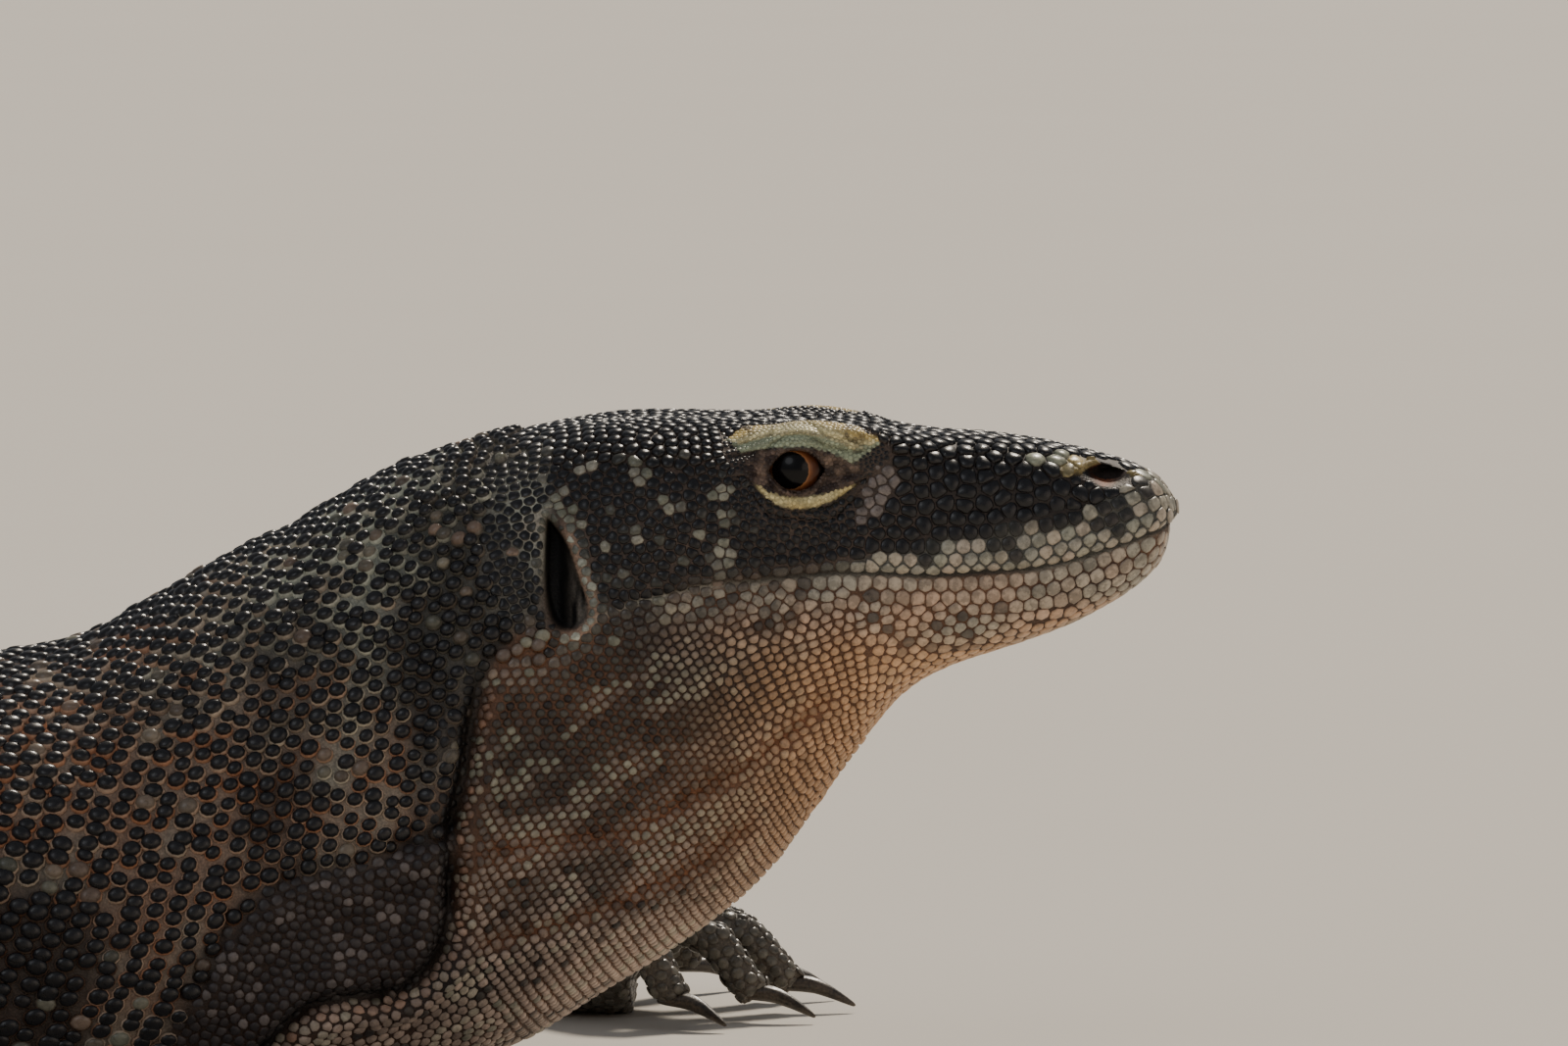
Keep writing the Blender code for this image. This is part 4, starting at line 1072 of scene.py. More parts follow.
def open_place(points):
    """False inside the eye, nostril, ear and mouth line, where no scale grows."""
    out = np.abs(points[:, 1])
    _, _, place, _ = lid_place(points)
    eye = (side_distance(points, EYE) < 0.020) & (out > 0.018) & (place < 0.05)
    ring = nostril_ring(points)
    nostril = (ring < np.where(points[:, 2] > NOSTRIL[2] + 0.0008, 1.50, 1.18)) & (out > 0.012)
    nostril |= (ring < 1.12) & (out > 0.006)
    ear = around(points, EAR, 0.03, 0.035) & (out > 0.03) & (ear_field(points)[0] > -0.0010)
    mouth = (np.abs(head_height(points)) < 0.0006) & (points[:, 0] > 0.655) & (out < 0.075)
    return ~(eye | nostril | ear | mouth)


LIP_PITCH = 0.0048
# Each row of lip plates: height above the mouth line, half-place offset, and how far back it runs.
LIP_ROWS = ((0.0017, 0.0, 0.130), (0.0046, 0.5, 0.098), (0.0089, 0.0, 0.098), (0.0132, 0.5, 0.080),
            (0.0174, 0.0, 0.030), (-0.0031, 0.5, 0.125), (-0.0074, 0.0, 0.100), (-0.0116, 0.5, 0.060))
NOSTRIL_PLATES = 7


def lip_sites():
    """Places seen from the side: rows of lip plates that follow the mouth, and the plates over a nostril."""
    line = flowing(MOUTH_LINE[2:9], 12)
    length = np.concatenate(([0], np.cumsum(np.linalg.norm(np.diff(line, axis=0), axis=1))))
    sites = []
    for rise, offset, reach in LIP_ROWS:
        for number in np.arange(offset, length[-1] / LIP_PITCH, 1.0):
            behind, height = (np.interp(number * LIP_PITCH, length, line[:, axis]) for axis in (0, 1))
            squeeze = 0.80 + 0.20 * (1 - smooth(0.095, 0.135, behind))
            if behind < reach:
                sites.append((TIP - behind, height + rise * squeeze))
    for turn in np.linspace(radians(8), radians(172), NOSTRIL_PLATES):
        ahead, up = cos(turn) * 1.65, sin(turn) * 1.95
        place = (NOSTRIL[0] + ahead * NOSTRIL_HALF[0], NOSTRIL[2] + (up - 0.22 * ahead) * NOSTRIL_HALF[1])
        sites.append(place)
    return sites


def lip_row_spots(skin):
    """The lip sites carried in from both sides onto the skin."""
    spots = []
    for x, z in lip_sites():
        for side in (1, -1):
            hit = skin.tree.ray_cast(Vector((x, side * 0.06, z)), Vector((0, -side, 0)), 0.06)[0]
            if hit is not None and abs(hit.y) > 0.004:
                spots.append(tuple(hit))
    return np.array(spots)


def tree_of(points):
    """A tree for finding the points nearest a place."""
    tree = KDTree(len(points))
    for i, point in enumerate(points):
        tree.insert(point, i)
    tree.balance()
    return tree


# Loose scales are spaced in a space stretched by this much, which makes them longer than they are tall.
LIE = np.array((0.88, 1.0, 1.13))


def thinned(fixed, fixed_gap, loose, loose_gap):
    """Keeps those loose points, in the order given, that stay clear of the fixed ones and of each other."""
    fixed, loose = fixed * LIE, loose * LIE
    tree = tree_of(loose)
    alive = np.ones(len(loose), bool)
    for point, gap in zip(fixed, fixed_gap):
        for _, i, _ in tree.find_range(point, gap):
            alive[i] = False
    for i in range(len(loose)):
        if alive[i]:
            for _, j, away in tree.find_range(loose[i], loose_gap[i]):
                if j != i:
                    alive[j] = False
    return np.flatnonzero(alive)


def scatter(skin, count, seed):
    """Random points on the skin, thicker where the scales are finer."""
    random = np.random.default_rng(seed)
    corners = skin.points[skin.faces]
    across = np.cross(corners[:, 1] - corners[:, 0], corners[:, 2] - corners[:, 0])
    area = 0.5 * np.linalg.norm(across, axis=1)
    middle = corners.mean(axis=1)
    weight = area / pitch_at(middle) ** 2
    weight *= middle[:, 2] > 0.0008
    face = random.choice(len(area), size=count, p=weight / weight.sum())
    first, second = random.random(count), random.random(count)
    flip = first + second > 1
    first, second = np.where(flip, 1 - first, first), np.where(flip, 1 - second, second)
    a, b, c = corners[face, 0], corners[face, 1], corners[face, 2]
    return a + (b - a) * first[:, None] + (c - a) * second[:, None]


def settled(skin, fixed, loose, rounds=7):
    """Spreads the loose points evenly between their neighbours, on the skin."""
    for _ in range(rounds):
        tree = tree_of(np.vstack((fixed, loose)) * LIE)
        gap = pitch_at(loose)
        move = np.zeros_like(loose)
        for i, point in enumerate(loose * LIE):
            own = gap[i] * 1.25
            for spot, j, away in tree.find_range(point, own):
                if away > 1e-9:
                    push = 0.30 * (own - away) / away
                    move[i] += ((point[0] - spot[0]) * push, (point[1] - spot[1]) * push,
                                (point[2] - spot[2]) * push)
        size = np.linalg.norm(move, axis=1)
        move *= np.minimum(1, 0.35 * gap / np.maximum(size, 1e-9))[:, None]
        spots, _, found = skin.snap(loose + move / LIE)
        loose = np.where(found[:, None], spots, loose)
    return loose


LIP, THROAT, BODY, FILL, GAP = range(5)     # the kinds of site; a GAP bears no scale
GAP_PITCH = 0.0014
LOWEST_ROOT = 0.0012    # no row of scales is rooted lower than this
LOOSE_COUNT = 190000    # places tried for the scales that follow no row


def neck_sites(skin, tree):
    """The rings of scales round the neck, trunk and tail, kept off the throat and the folds."""
    neck = lattice_neck(tree)
    neck, _, found = skin.snap(neck + np.random.default_rng(6).normal(0, 0.00050, neck.shape))
    neck = neck[found]
    keep = (collar_side(neck) > 0.0060) | (neck[:, 2] > 0.150)
    keep &= (TIP - neck[:, 0] > 0.200) & (neck[:, 2] > LOWEST_ROOT) & (between_folds(neck) < 0.5)
    neck = neck[keep]
    return neck[thinned(neck[:0], [], neck, 0.62 * body_pitch(straightened(neck)[:, 0]))]


def throat_sites(skin, tree, taken):
    """The rings of small scales on the throat, kept clear of the places already taken."""
    throat = lattice_throat(tree)
    throat, _, found = skin.snap(throat + np.random.default_rng(7).normal(0, 0.00016, throat.shape))
    throat = throat[found]
    keep = (collar_side(throat) < -0.001) & (head_height(throat) < -0.012) & (throat[:, 2] > LOWEST_ROOT)
    throat = throat[keep & (throat[:, 0] < 0.70)]
    return throat[thinned(taken, np.full(len(taken), 0.0032), throat, np.full(len(throat), 0.0024))]


def all_sites(skin):
    """Every scale's root: its place, normal, kind and spacing."""
    tree = solids_tree(BODY_NODES)
    lips = lip_row_spots(skin)
    lips = lips[open_place(lips)]
    neck = neck_sites(skin, tree)
    throat = throat_sites(skin, tree, np.vstack((lips, neck)))
    neck_pitch = body_pitch(straightened(neck)[:, 0])
    fixed = np.vstack((lips, neck, throat))
    gaps = np.concatenate((np.full(len(lips), 0.0040), 0.85 * neck_pitch, np.full(len(throat), 0.0026)))
    loose = scatter(skin, LOOSE_COUNT, 4)
    loose = loose[open_place(loose)]
    keep = thinned(fixed, gaps, loose, 0.80 * pitch_at(loose))
    loose = settled(skin, fixed, loose[keep])
    loose = loose[open_place(loose)]
    # points inside the eye, nostril and ear bear no scale, but keep the scales round them from reaching over
    bare = skin.points[~open_place(skin.points)]
    bare = bare[thinned(bare[:0], [], bare, np.full(len(bare), GAP_PITCH))]
    points = np.vstack((fixed, loose, bare))
    counts = (len(lips), len(neck), len(throat), len(loose), len(bare))
    kinds = np.repeat((LIP, BODY, THROAT, FILL, GAP), counts)
    gaps = np.concatenate((np.full(len(lips), 0.0047), neck_pitch, np.full(len(throat), 0.0032),
                           pitch_at(loose), np.full(len(bare), 0.5 * GAP_PITCH)))
    spots, normals, found = skin.snap(points)
    clear = found & (spots[:, 2] > 0.0010)
    return spots[clear], normals[clear], kinds[clear], gaps[clear]


def frames_at(points, normals):
    """Two ways across the skin: along the body, and towards the back; the left side is turned half round."""
    way = body_way(points) * np.where(points[:, 1] > 0, -1, 1)[:, None]
    along = way - normals * (way * normals).sum(axis=1)[:, None]
    along /= np.maximum(np.linalg.norm(along, axis=1), 1e-9)[:, None]
    return along, np.cross(normals, along)


def unwrapped(points):
    """Places on an unwrap of the animal: the body in one strip, and each limb in a corner of its own."""
    at = straightened(points)
    a, side, height = at.T
    u = 0.02 + 0.96 * (a + 1.75) / 2.60
    top_height = np.interp(a, PLANES[::-1, 0], PLANES[::-1, 1])
    v = 0.25 + 0.23 * np.arctan2(side, height - 0.5 * top_height) / pi
    limb = np.abs(side) > 0.155
    fore = a > 0.1
    low = np.where(fore, 0.24, -0.44)
    limb_u = 0.02 + 0.46 * np.clip((a - low) / 0.46, 0, 1) + 0.5 * fore
    round_limb = 0.5 + 0.5 * np.arctan2(np.abs(side) - 0.235, height - 0.03) / pi
    limb_v = 0.52 + 0.22 * round_limb + 0.24 * (side > 0)
    return np.where(limb, limb_u, u), np.where(limb, limb_v, v)


# ---------------------------------------------------------------- scales as solid mesh

def add_object(name, vertices, faces, tint, places):
    """A coat piece: a mesh with a colour on each point and its places on the unwrap."""
    data = bpy.data.meshes.new(name)
    data.vertices.add(len(vertices))
    data.vertices.foreach_set("co", np.asarray(vertices, np.float32).ravel())
    loops = np.concatenate([np.asarray(part).ravel() for part in faces])
    sizes = np.concatenate([np.full(len(part), part.shape[1]) for part in faces])
    data.loops.add(len(loops))
    data.loops.foreach_set("vertex_index", loops)
    data.polygons.add(len(sizes))
    data.polygons.foreach_set("loop_start", np.concatenate(([0], np.cumsum(sizes)[:-1])))
    data.update(calc_edges=True)
    data.validate()
    set_tint(data, tint)
    set_bake(data, places)
    data.shade_smooth()
    return linked(name, data)


def with_alpha(colours):
    """Opaque colours for an attribute that holds four values."""
    return np.hstack((colours, np.ones((len(colours), 1))))


def set_tint(data, tint):
    """Stores the colour of each point, which the materials read."""
    layer = data.attributes.new("tint", "FLOAT_COLOR", "POINT")
    layer.data.foreach_set("color", with_alpha(np.clip(tint, 0, 1)).astype(np.float32).ravel())


def set_bake(data, places):
    """The unwrap on which the coat is baked: each scale is a small patch at its root."""
    layer = data.uv_layers.new(name="OFBake")
    corners = np.empty(len(data.loops), int)
    data.loops.foreach_get("vertex_index", corners)
    layer.data.foreach_set("uv", np.asarray(places, np.float32)[corners].ravel())


# Each profile is rings of (part of the radius, part of the height, how far the colour is the scale's own).
PLATE_PROFILE = ((1.00, -0.60, 0.0), (0.965, 0.32, 0.80), (0.78, 0.84, 1.0))
BEAD_PROFILE = ((1.00, -0.30, 0.0), (0.99, 0.24, 0.0), (0.91, 0.46, 0.06), (0.865, 0.56, 0.95),
                (0.73, 0.83, 1.0), (0.40, 0.98, 1.0))
BROAD_PROFILE = ((1.00, -0.25, 0.0), (0.95, 0.32, 0.35), (0.62, 0.86, 1.0))
PATCH = 0.003           # how wide each scale is on the unwrap
NEIGHBOURS = 12         # how many sites round a plate bound it
WIDEST_CELL = 0.78      # how far a plate may reach, as a part of its spacing
SMALLEST_RADIUS = 0.00022
BEAD_SKEW = 0.20        # how far beads turn from the body's way, in radians
BEAD_UNEVENNESS = 0.15  # how far their sizes vary
CAP_SHIFT = 0.10        # how far a bead's cap sits towards the back, as a part of its width
FIRST_SEED = 21         # the seed of the first coat piece of beads; each next one has the next seed


def spokes(along, across, sides):
    """Directions across the skin, evenly round each scale."""
    turn = 2 * pi * np.arange(sides) / sides
    return along[:, None, :] * np.cos(turn)[None, :, None] + across[:, None, :] * np.sin(turn)[None, :, None]


def cell_radii(points, normals, gaps, chosen, along, across, sides, power):
    """How far each chosen scale reaches in each direction before it meets its neighbours."""
    tree = tree_of(points)
    offsets = np.full((len(chosen), NEIGHBOURS, 3), 1.0)
    share = np.full((len(chosen), NEIGHBOURS), 0.5)
    for row, i in enumerate(chosen):
        for column, (spot, j, _) in enumerate(tree.find_n(points[i], NEIGHBOURS + 1)[1:]):
            offsets[row, column] = np.array(spot) - points[i]
            share[row, column] = gaps[i] / (gaps[i] + gaps[j])
    u = (offsets * along[:, None, :]).sum(axis=2)
    v = (offsets * across[:, None, :]).sum(axis=2)
    far = np.maximum(np.hypot(u, v), 1e-6)
    reach = far * share
    turn = 2 * pi * np.arange(sides) / sides
    lean = u[:, None, :] * np.cos(turn)[None, :, None] + v[:, None, :] * np.sin(turn)[None, :, None]
    lean /= far[:, None, :]
    total = ((np.maximum(lean, 0) / reach[:, None, :]) ** power).sum(axis=2)
    total = np.maximum(total, 1e-30)    # a scale with no neighbour on one side
    return np.minimum(total ** (-1 / power), WIDEST_CELL * gaps[chosen][:, None])


def plate_faces(count, sides):
    """The quads between a plate's rings and the fan at its top, for this many plates."""
    rings = len(PLATE_PROFILE)
    step = np.arange(sides)
    after = (step + 1) % sides
    quads = [np.stack((low + step, low + after, low + sides + after, low + sides + step), axis=1)
             for low in range(0, (rings - 1) * sides, sides)]
    last = (rings - 1) * sides
    fan = np.stack((last + step, last + after, np.full(sides, rings * sides)), axis=1)
    start = (np.arange(count) * (rings * sides + 1))[:, None, None]
    return [(part[None] + start).reshape(-1, part.shape[1]) for part in (np.concatenate(quads), fan)]


def plates(name, points, normals, gaps, chosen, sides, power, height, groove, colours):
    """Close-set plates that fill the skin between them, each a low dome with a skirt below the skin."""
    along, across = frames_at(points[chosen], normals[chosen])
    radii = cell_radii(points, normals, gaps, chosen, along, across, sides, power) - groove[:, None]
    radii = np.maximum(radii, SMALLEST_RADIUS)
    spoke = spokes(along, across, sides)
    turn = 2 * pi * np.arange(sides) / sides
    circle = np.stack((np.cos(turn), np.sin(turn)), axis=1)
    root, normal = points[chosen], normals[chosen]
    home = np.stack(unwrapped(root), axis=1)
    scale_tint, rim_tint = colours[0][chosen], colours[1][chosen]
    rows, tints, places = [], [], []
    for wide, high, own in PLATE_PROFILE:
        rise = normal[:, None, :] * (height * high)[:, None, None]
        rows.append(root[:, None, :] + spoke * (radii * wide)[:, :, None] + rise)
        tints.append(np.repeat(mix(rim_tint, scale_tint, own)[:, None, :], sides, axis=1))
        places.append(home[:, None, :] + 0.5 * PATCH * wide * circle)
    rows.append((root + normal * height[:, None])[:, None, :])
    tints.append(scale_tint[:, None, :])
    places.append(home[:, None, :])
    vertices = np.concatenate(rows, axis=1).reshape(-1, 3)
    vertices[:, 2] = np.maximum(vertices[:, 2], COAT_FLOOR)
    tints = np.concatenate(tints, axis=1).reshape(-1, 3)
    places = np.concatenate(places, axis=1).reshape(-1, 2)
    return add_object(name, vertices, plate_faces(len(chosen), sides), tints, places)


def bead_form(name, profile, sides):
    """One bead of unit size: a pale raised collar round a dark dome set a little towards the back."""
    mesh = bmesh.new()
    own = mesh.verts.layers.float.new("own")
    patch = mesh.verts.layers.float_vector.new("patch")

    def vertex(x, y, shift, high, part):
        vert = mesh.verts.new((x, y + shift, high))
        vert[own], vert[patch] = part, (0.5 * PATCH * x, 0.5 * PATCH * y, 0)
        return vert

    rings = []
    for wide, high, part in profile:
        shift = CAP_SHIFT * float(smooth(0.97, 0.88, wide))
        turns = [2 * pi * i / sides for i in range(sides)]
        rings.append([vertex(wide * cos(turn), wide * sin(turn), shift, high, part) for turn in turns])
    tip = vertex(0, 0, CAP_SHIFT, 1.0, 1.0)
    for low, high in zip(rings, rings[1:]):
        for i in range(sides):
            j = (i + 1) % sides
            mesh.faces.new((low[i], low[j], high[j], high[i]))
    for i in range(sides):
        mesh.faces.new((rings[-1][i], rings[-1][(i + 1) % sides], tip))
    return bpy.data.objects.new(name, smooth_mesh(name, mesh))


def node(tree, kind, inputs=(), links=(), **settings):
    """Adds a node with its settings, its input values and the links into it."""
    made = tree.nodes.new(kind)
    for key, value in settings.items():
        setattr(made, key, value)
    for key, value in dict(inputs).items():
        made.inputs[key].default_value = value
    for key, source in dict(links).items():
        tree.links.new(source, made.inputs[key])
    return made


def bead_setter():
    """A tree that sets a bead on every point by the turn and size stored there, and realises them."""
    tree = bpy.data.node_groups.new("bead_setter", "GeometryNodeTree")
    for label, kind in (("Roots", "Geometry"), ("Bead", "Object"), ("Length", "Float"), ("Width", "Float"),
                        ("Rise", "Float"), ("Unevenness", "Float"), ("Seed", "Int"), ("Finish", "Material")):
        tree.interface.new_socket(label, in_out="INPUT", socket_type="NodeSocket" + kind)
    tree.interface.new_socket("Coat", in_out="OUTPUT", socket_type="NodeSocketGeometry")
    given = node(tree, "NodeGroupInput").outputs
    bead = node(tree, "GeometryNodeObjectInfo", links={"Object": given["Bead"]})
    turn, size = (node(tree, "GeometryNodeInputNamedAttribute", {"Name": name}, data_type="FLOAT_VECTOR")
                  for name in ("turn", "size"))
    euler = node(tree, "FunctionNodeEulerToRotation", links={"Euler": turn.outputs["Attribute"]})
    stretch = node(tree, "ShaderNodeCombineXYZ",
                   links={"X": given["Length"], "Y": given["Width"], "Z": given["Rise"]})
    scaled = node(tree, "ShaderNodeVectorMath", operation="MULTIPLY",
                  links={0: size.outputs["Attribute"], 1: stretch.outputs[0]})
    low, high = (node(tree, "ShaderNodeMath", {0: 1.0}, {1: given["Unevenness"]}, operation=way)
                 for way in ("SUBTRACT", "ADD"))
    vary = node(tree, "FunctionNodeRandomValue",
                links={"Min": low.outputs[0], "Max": high.outputs[0], "Seed": given["Seed"]})
    final = node(tree, "ShaderNodeVectorMath", operation="SCALE",
                 links={0: scaled.outputs[0], 3: vary.outputs["Value"]})
    placed = node(tree, "GeometryNodeInstanceOnPoints",
                  links={"Points": given["Roots"], "Instance": bead.outputs["Geometry"],
                         "Rotation": euler.outputs[0], "Scale": final.outputs[0]})
    solid = node(tree, "GeometryNodeRealizeInstances", links={"Geometry": placed.outputs[0]})
    coated = node(tree, "GeometryNodeSetMaterial",
                  links={"Geometry": solid.outputs[0], "Material": given["Finish"]})
    node(tree, "NodeGroupOutput", links={"Coat": coated.outputs[0]})
    return tree


def euler_of(along, across, normal):
    """XYZ turns, in radians, of frames whose columns are along, across and normal."""
    roll = np.arctan2(across[:, 2], normal[:, 2])
    pitch = -np.arcsin(np.clip(along[:, 2], -1, 1))
    return np.stack((roll, pitch, np.arctan2(along[:, 1], along[:, 0])), axis=1)


def attribute(data, name, kind, values):
    """Stores a value on each point, for the tree that sets the beads."""
    layer = data.attributes.new(name, kind, "POINT")
    field = {"FLOAT_VECTOR": "vector", "FLOAT_COLOR": "color"}[kind]
    layer.data.foreach_set(field, np.asarray(values, np.float32).ravel())


def read(data, name, field, width):
    """The values stored on each point."""
    values = np.empty(len(data.vertices) * width, np.float32)
    data.attributes[name].data.foreach_get(field, values)
    return values.reshape(-1, width)


def beads(name, setter, form, points, normals, sizes, colours, finish, seed):
    """A coat piece: one bead at each root, made plain mesh, with its colours and its unwrap."""
    along, across = frames_at(points, normals)
    askew = np.random.default_rng(seed).normal(0, BEAD_SKEW, len(points))[:, None]
    turned = along * np.cos(askew) + across * np.sin(askew)
    across = across * np.cos(askew) - along * np.sin(askew)
    data = bpy.data.meshes.new(name)
    data.from_pydata(points.tolist(), [], [])
    attribute(data, "turn", "FLOAT_VECTOR", euler_of(turned, across, normals))
    attribute(data, "size", "FLOAT_VECTOR", sizes)
    u, v = unwrapped(points)
    attribute(data, "root", "FLOAT_VECTOR", np.stack((u, v, np.zeros(len(u))), axis=1))
    for label, colour in zip(("crown", "collar"), colours):
        attribute(data, label, "FLOAT_COLOR", with_alpha(colour))
    thing = linked(name, data)
    modifier = thing.modifiers.new("coat", "NODES")
    modifier.node_group = setter
    values = {"Bead": form, "Length": 1.0, "Width": 1.0, "Rise": 1.0,
              "Unevenness": BEAD_UNEVENNESS, "Seed": seed, "Finish": finish}
    for socket in setter.interface.items_tree:
        if socket.in_out == "INPUT" and socket.name in values:
            modifier[socket.identifier] = values[socket.name]
    made = made_plain(thing)
    made.name = name
    collar, crown = (read(made, label, "color", 4)[:, :3] for label in ("collar", "crown"))
    tint = mix(collar, crown, read(made, "own", "value", 1)[:, 0])
    places = read(made, "root", "vector", 3)[:, :2] + read(made, "patch", "vector", 3)[:, :2]
    spots = np.empty(len(made.vertices) * 3, np.float32)
    made.vertices.foreach_get("co", spots)
    spots[2::3] = np.maximum(spots[2::3], COAT_FLOOR)
    made.vertices.foreach_set("co", spots)
    for label in ("own", "patch", "root", "crown", "collar", "turn", "size"):
        if label in made.attributes:
            made.attributes.remove(made.attributes[label])
    set_tint(made, tint)
    set_bake(made, places)
    made.shade_smooth()
    return thing


# ---------------------------------------------------------------- materials

def gaze(side):
    """The way an eye looks: outwards and a little back."""
    return Vector((-0.20, side * 1.0, 0.02)).normalized()


def new_material(name, **values):
    """A material, its tree, its shader with these values on its sockets, and the piece's own coordinates."""
    material = bpy.data.materials.new(name)
    material.use_nodes = True
    tree = material.node_tree
    shader = tree.nodes["Principled BSDF"]
    for socket, value in values.items():
        shader.inputs[socket.replace("_", " ")].default_value = value
    return material, tree, shader, node(tree, "ShaderNodeTexCoord").outputs["Object"]


def shaded_tint(tree, first, second):
    """The colour stored on each point, darkened or lightened by two patterns."""
    tint = node(tree, "ShaderNodeVertexColor", layer_name="tint")
    both = node(tree, "ShaderNodeMath", links={0: first, 1: second}, operation="MULTIPLY")
    return node(tree, "ShaderNodeVectorMath", links={0: tint.outputs["Color"], 3: both.outputs[0]},
                operation="SCALE").outputs[0]


def spread(low, high, first, last):
    """The four ends of a range and what they turn to, for a Map Range node."""
    return {"From Min": low, "From Max": high, "To Min": first, "To Max": last}


def wire(tree, shader, **sources):
    """Links each source to the shader's socket of that name."""
    for socket, source in sources.items():
        tree.links.new(source, shader.inputs[socket.replace("_", " ")])


def paint_stops(ramp, stops):
    """Sets a colour ramp's stops, each a place and a hex colour."""
    elements = ramp.color_ramp.elements
    while len(elements) < len(stops):
        elements.new(0.5)
    for element, (spot, colour) in zip(elements, stops):
        element.position = spot
        element.color = (*linear(colour), 1)


def reptile_keratin(name, roughness, bump, wear, stain):
    """Beta keratin over living skin: hard, faintly waxy, stained in blotches, with fine growth ridges."""
    material, tree, shader, place = new_material(name, IOR=1.54, Specular_IOR_Level=0.43)
    # dust and wear in patches about 1.6 mm across
    patches = node(tree, "ShaderNodeTexNoise", {"Scale": 620.0, "Detail": 3.0, "Roughness": 0.6},
                   {"Vector": place}).outputs["Fac"]
    span = node(tree, "ShaderNodeMapRange", spread(0.3, 0.7, 1 - wear, 1 + wear), {"Value": patches})
    # old stains about 4 mm across, with ragged edges
    blots = node(tree, "ShaderNodeTexNoise", {"Scale": 250.0, "Detail": 5.0, "Roughness": 0.7},
                 {"Vector": place}).outputs["Fac"]
    kept = node(tree, "ShaderNodeMapRange", spread(0.44, 0.54, 1 - stain, 1.0), {"Value": blots})
    # growth ridges 0.3 mm apart
    fine = node(tree, "ShaderNodeTexNoise", {"Scale": 3300.0, "Detail": 2.0},
                {"Vector": place}).outputs["Fac"]
    rough = node(tree, "ShaderNodeMapRange", spread(0.25, 0.75, roughness - 0.10, roughness + 0.14),
                 {"Value": patches})
    ridges = node(tree, "ShaderNodeBump", {"Strength": bump, "Distance": 0.00012}, {"Height": fine})
    wire(tree, shader, Base_Color=shaded_tint(tree, span.outputs["Result"], kept.outputs["Result"]),
         Roughness=rough.outputs["Result"], Normal=ridges.outputs["Normal"])
    return material


def soft_hide(name):
    """Loose skin between the scales: matt, and pebbled with granules about 0.7 mm across."""
    material, tree, shader, place = new_material(name, IOR=1.45, Roughness=0.62)
    granules = node(tree, "ShaderNodeTexVoronoi", {"Scale": 1400.0}, {"Vector": place}).outputs["Distance"]
    patches = node(tree, "ShaderNodeTexNoise", {"Scale": 700.0, "Detail": 3.0}, {"Vector": place})
    span = node(tree, "ShaderNodeMapRange", spread(0.25, 0.75, 0.72, 1.22), {"Value": patches.outputs["Fac"]})
    # painted shade: each granule darkens towards its edge, in the cracks between granules
    shade = node(tree, "ShaderNodeMapRange", spread(0.0, 0.8, 1.12, 0.66), {"Value": granules})
    pebbles = node(tree, "ShaderNodeBump", {"Strength": 0.6, "Distance": 0.0003}, {"Height": granules},
                   invert=True)
    wire(tree, shader, Base_Color=shaded_tint(tree, span.outputs["Result"], shade.outputs["Result"]),
         Normal=pebbles.outputs["Normal"])
    return material


def wet_eye(name, side):
    """A lizard's eye: a broad dark pupil in an orange-brown iris under a wet cornea."""
    material, tree, shader, place = new_material(name, IOR=1.33, Roughness=0.25, Specular_IOR_Level=0.35,
                                                 Coat_Weight=0.15, Coat_Roughness=0.03)
    out = node(tree, "ShaderNodeVectorMath", {1: (EYE[0], side * EYE[1], EYE[2])}, {0: place},
               operation="SUBTRACT")
    way = node(tree, "ShaderNodeVectorMath", links={0: out.outputs[0]}, operation="NORMALIZE")
    facing = node(tree, "ShaderNodeVectorMath", {1: tuple(gaze(side))}, {0: way.outputs[0]},
                  operation="DOT_PRODUCT")
    fibres = node(tree, "ShaderNodeTexNoise", {"Scale": 900.0, "Detail": 3.0}, {"Vector": place})
    shift = node(tree, "ShaderNodeMath", {1: 0.05, 2: -0.025}, {0: fibres.outputs["Fac"]},
                 operation="MULTIPLY_ADD")
    angle = node(tree, "ShaderNodeMath", links={0: facing.outputs["Value"], 1: shift.outputs[0]},
                 operation="ADD")
    ramp = node(tree, "ShaderNodeValToRGB", links={"Fac": angle.outputs[0]})
    paint_stops(ramp, ((0.0, "#0d0806"), (0.53, "#150c08"), (0.60, "#3f2110"), (0.72, "#552f19"),
                       (0.795, "#7c4b2a"), (0.815, "#a06c42"), (0.835, "#0a0708"), (1.0, "#050507")))
    wire(tree, shader, Base_Color=ramp.outputs["Color"])
    return material


def claw_horn():
    """Horn grown in fine lengthwise streaks, worn and scratched to a dull polish."""
    material, tree, shader, place = new_material("claw_horn", IOR=1.55)
    # streaks 0.8 mm apart
    streaks = node(tree, "ShaderNodeTexNoise", {"Scale": 1250.0, "Detail": 4.0},
                   {"Vector": place}).outputs["Fac"]
    broad = node(tree, "ShaderNodeTexNoise", {"Scale": 160.0, "Detail": 2.0}, {"Vector": place})
    blend = node(tree, "ShaderNodeMath", links={0: streaks, 1: broad.outputs["Fac"]}, operation="MULTIPLY")
    ramp = node(tree, "ShaderNodeValToRGB", links={"Fac": blend.outputs[0]})
    paint_stops(ramp, ((0.14, "#1a1613"), (0.42, "#5a4f42")))
    rough = node(tree, "ShaderNodeMapRange", {"To Min": 0.28, "To Max": 0.5}, {"Value": streaks})
    ridges = node(tree, "ShaderNodeBump", {"Strength": 0.4, "Distance": 0.0002}, {"Height": streaks})
    wire(tree, shader, Base_Color=ramp.outputs["Color"], Roughness=rough.outputs["Result"],
         Normal=ridges.outputs["Normal"])
    return material


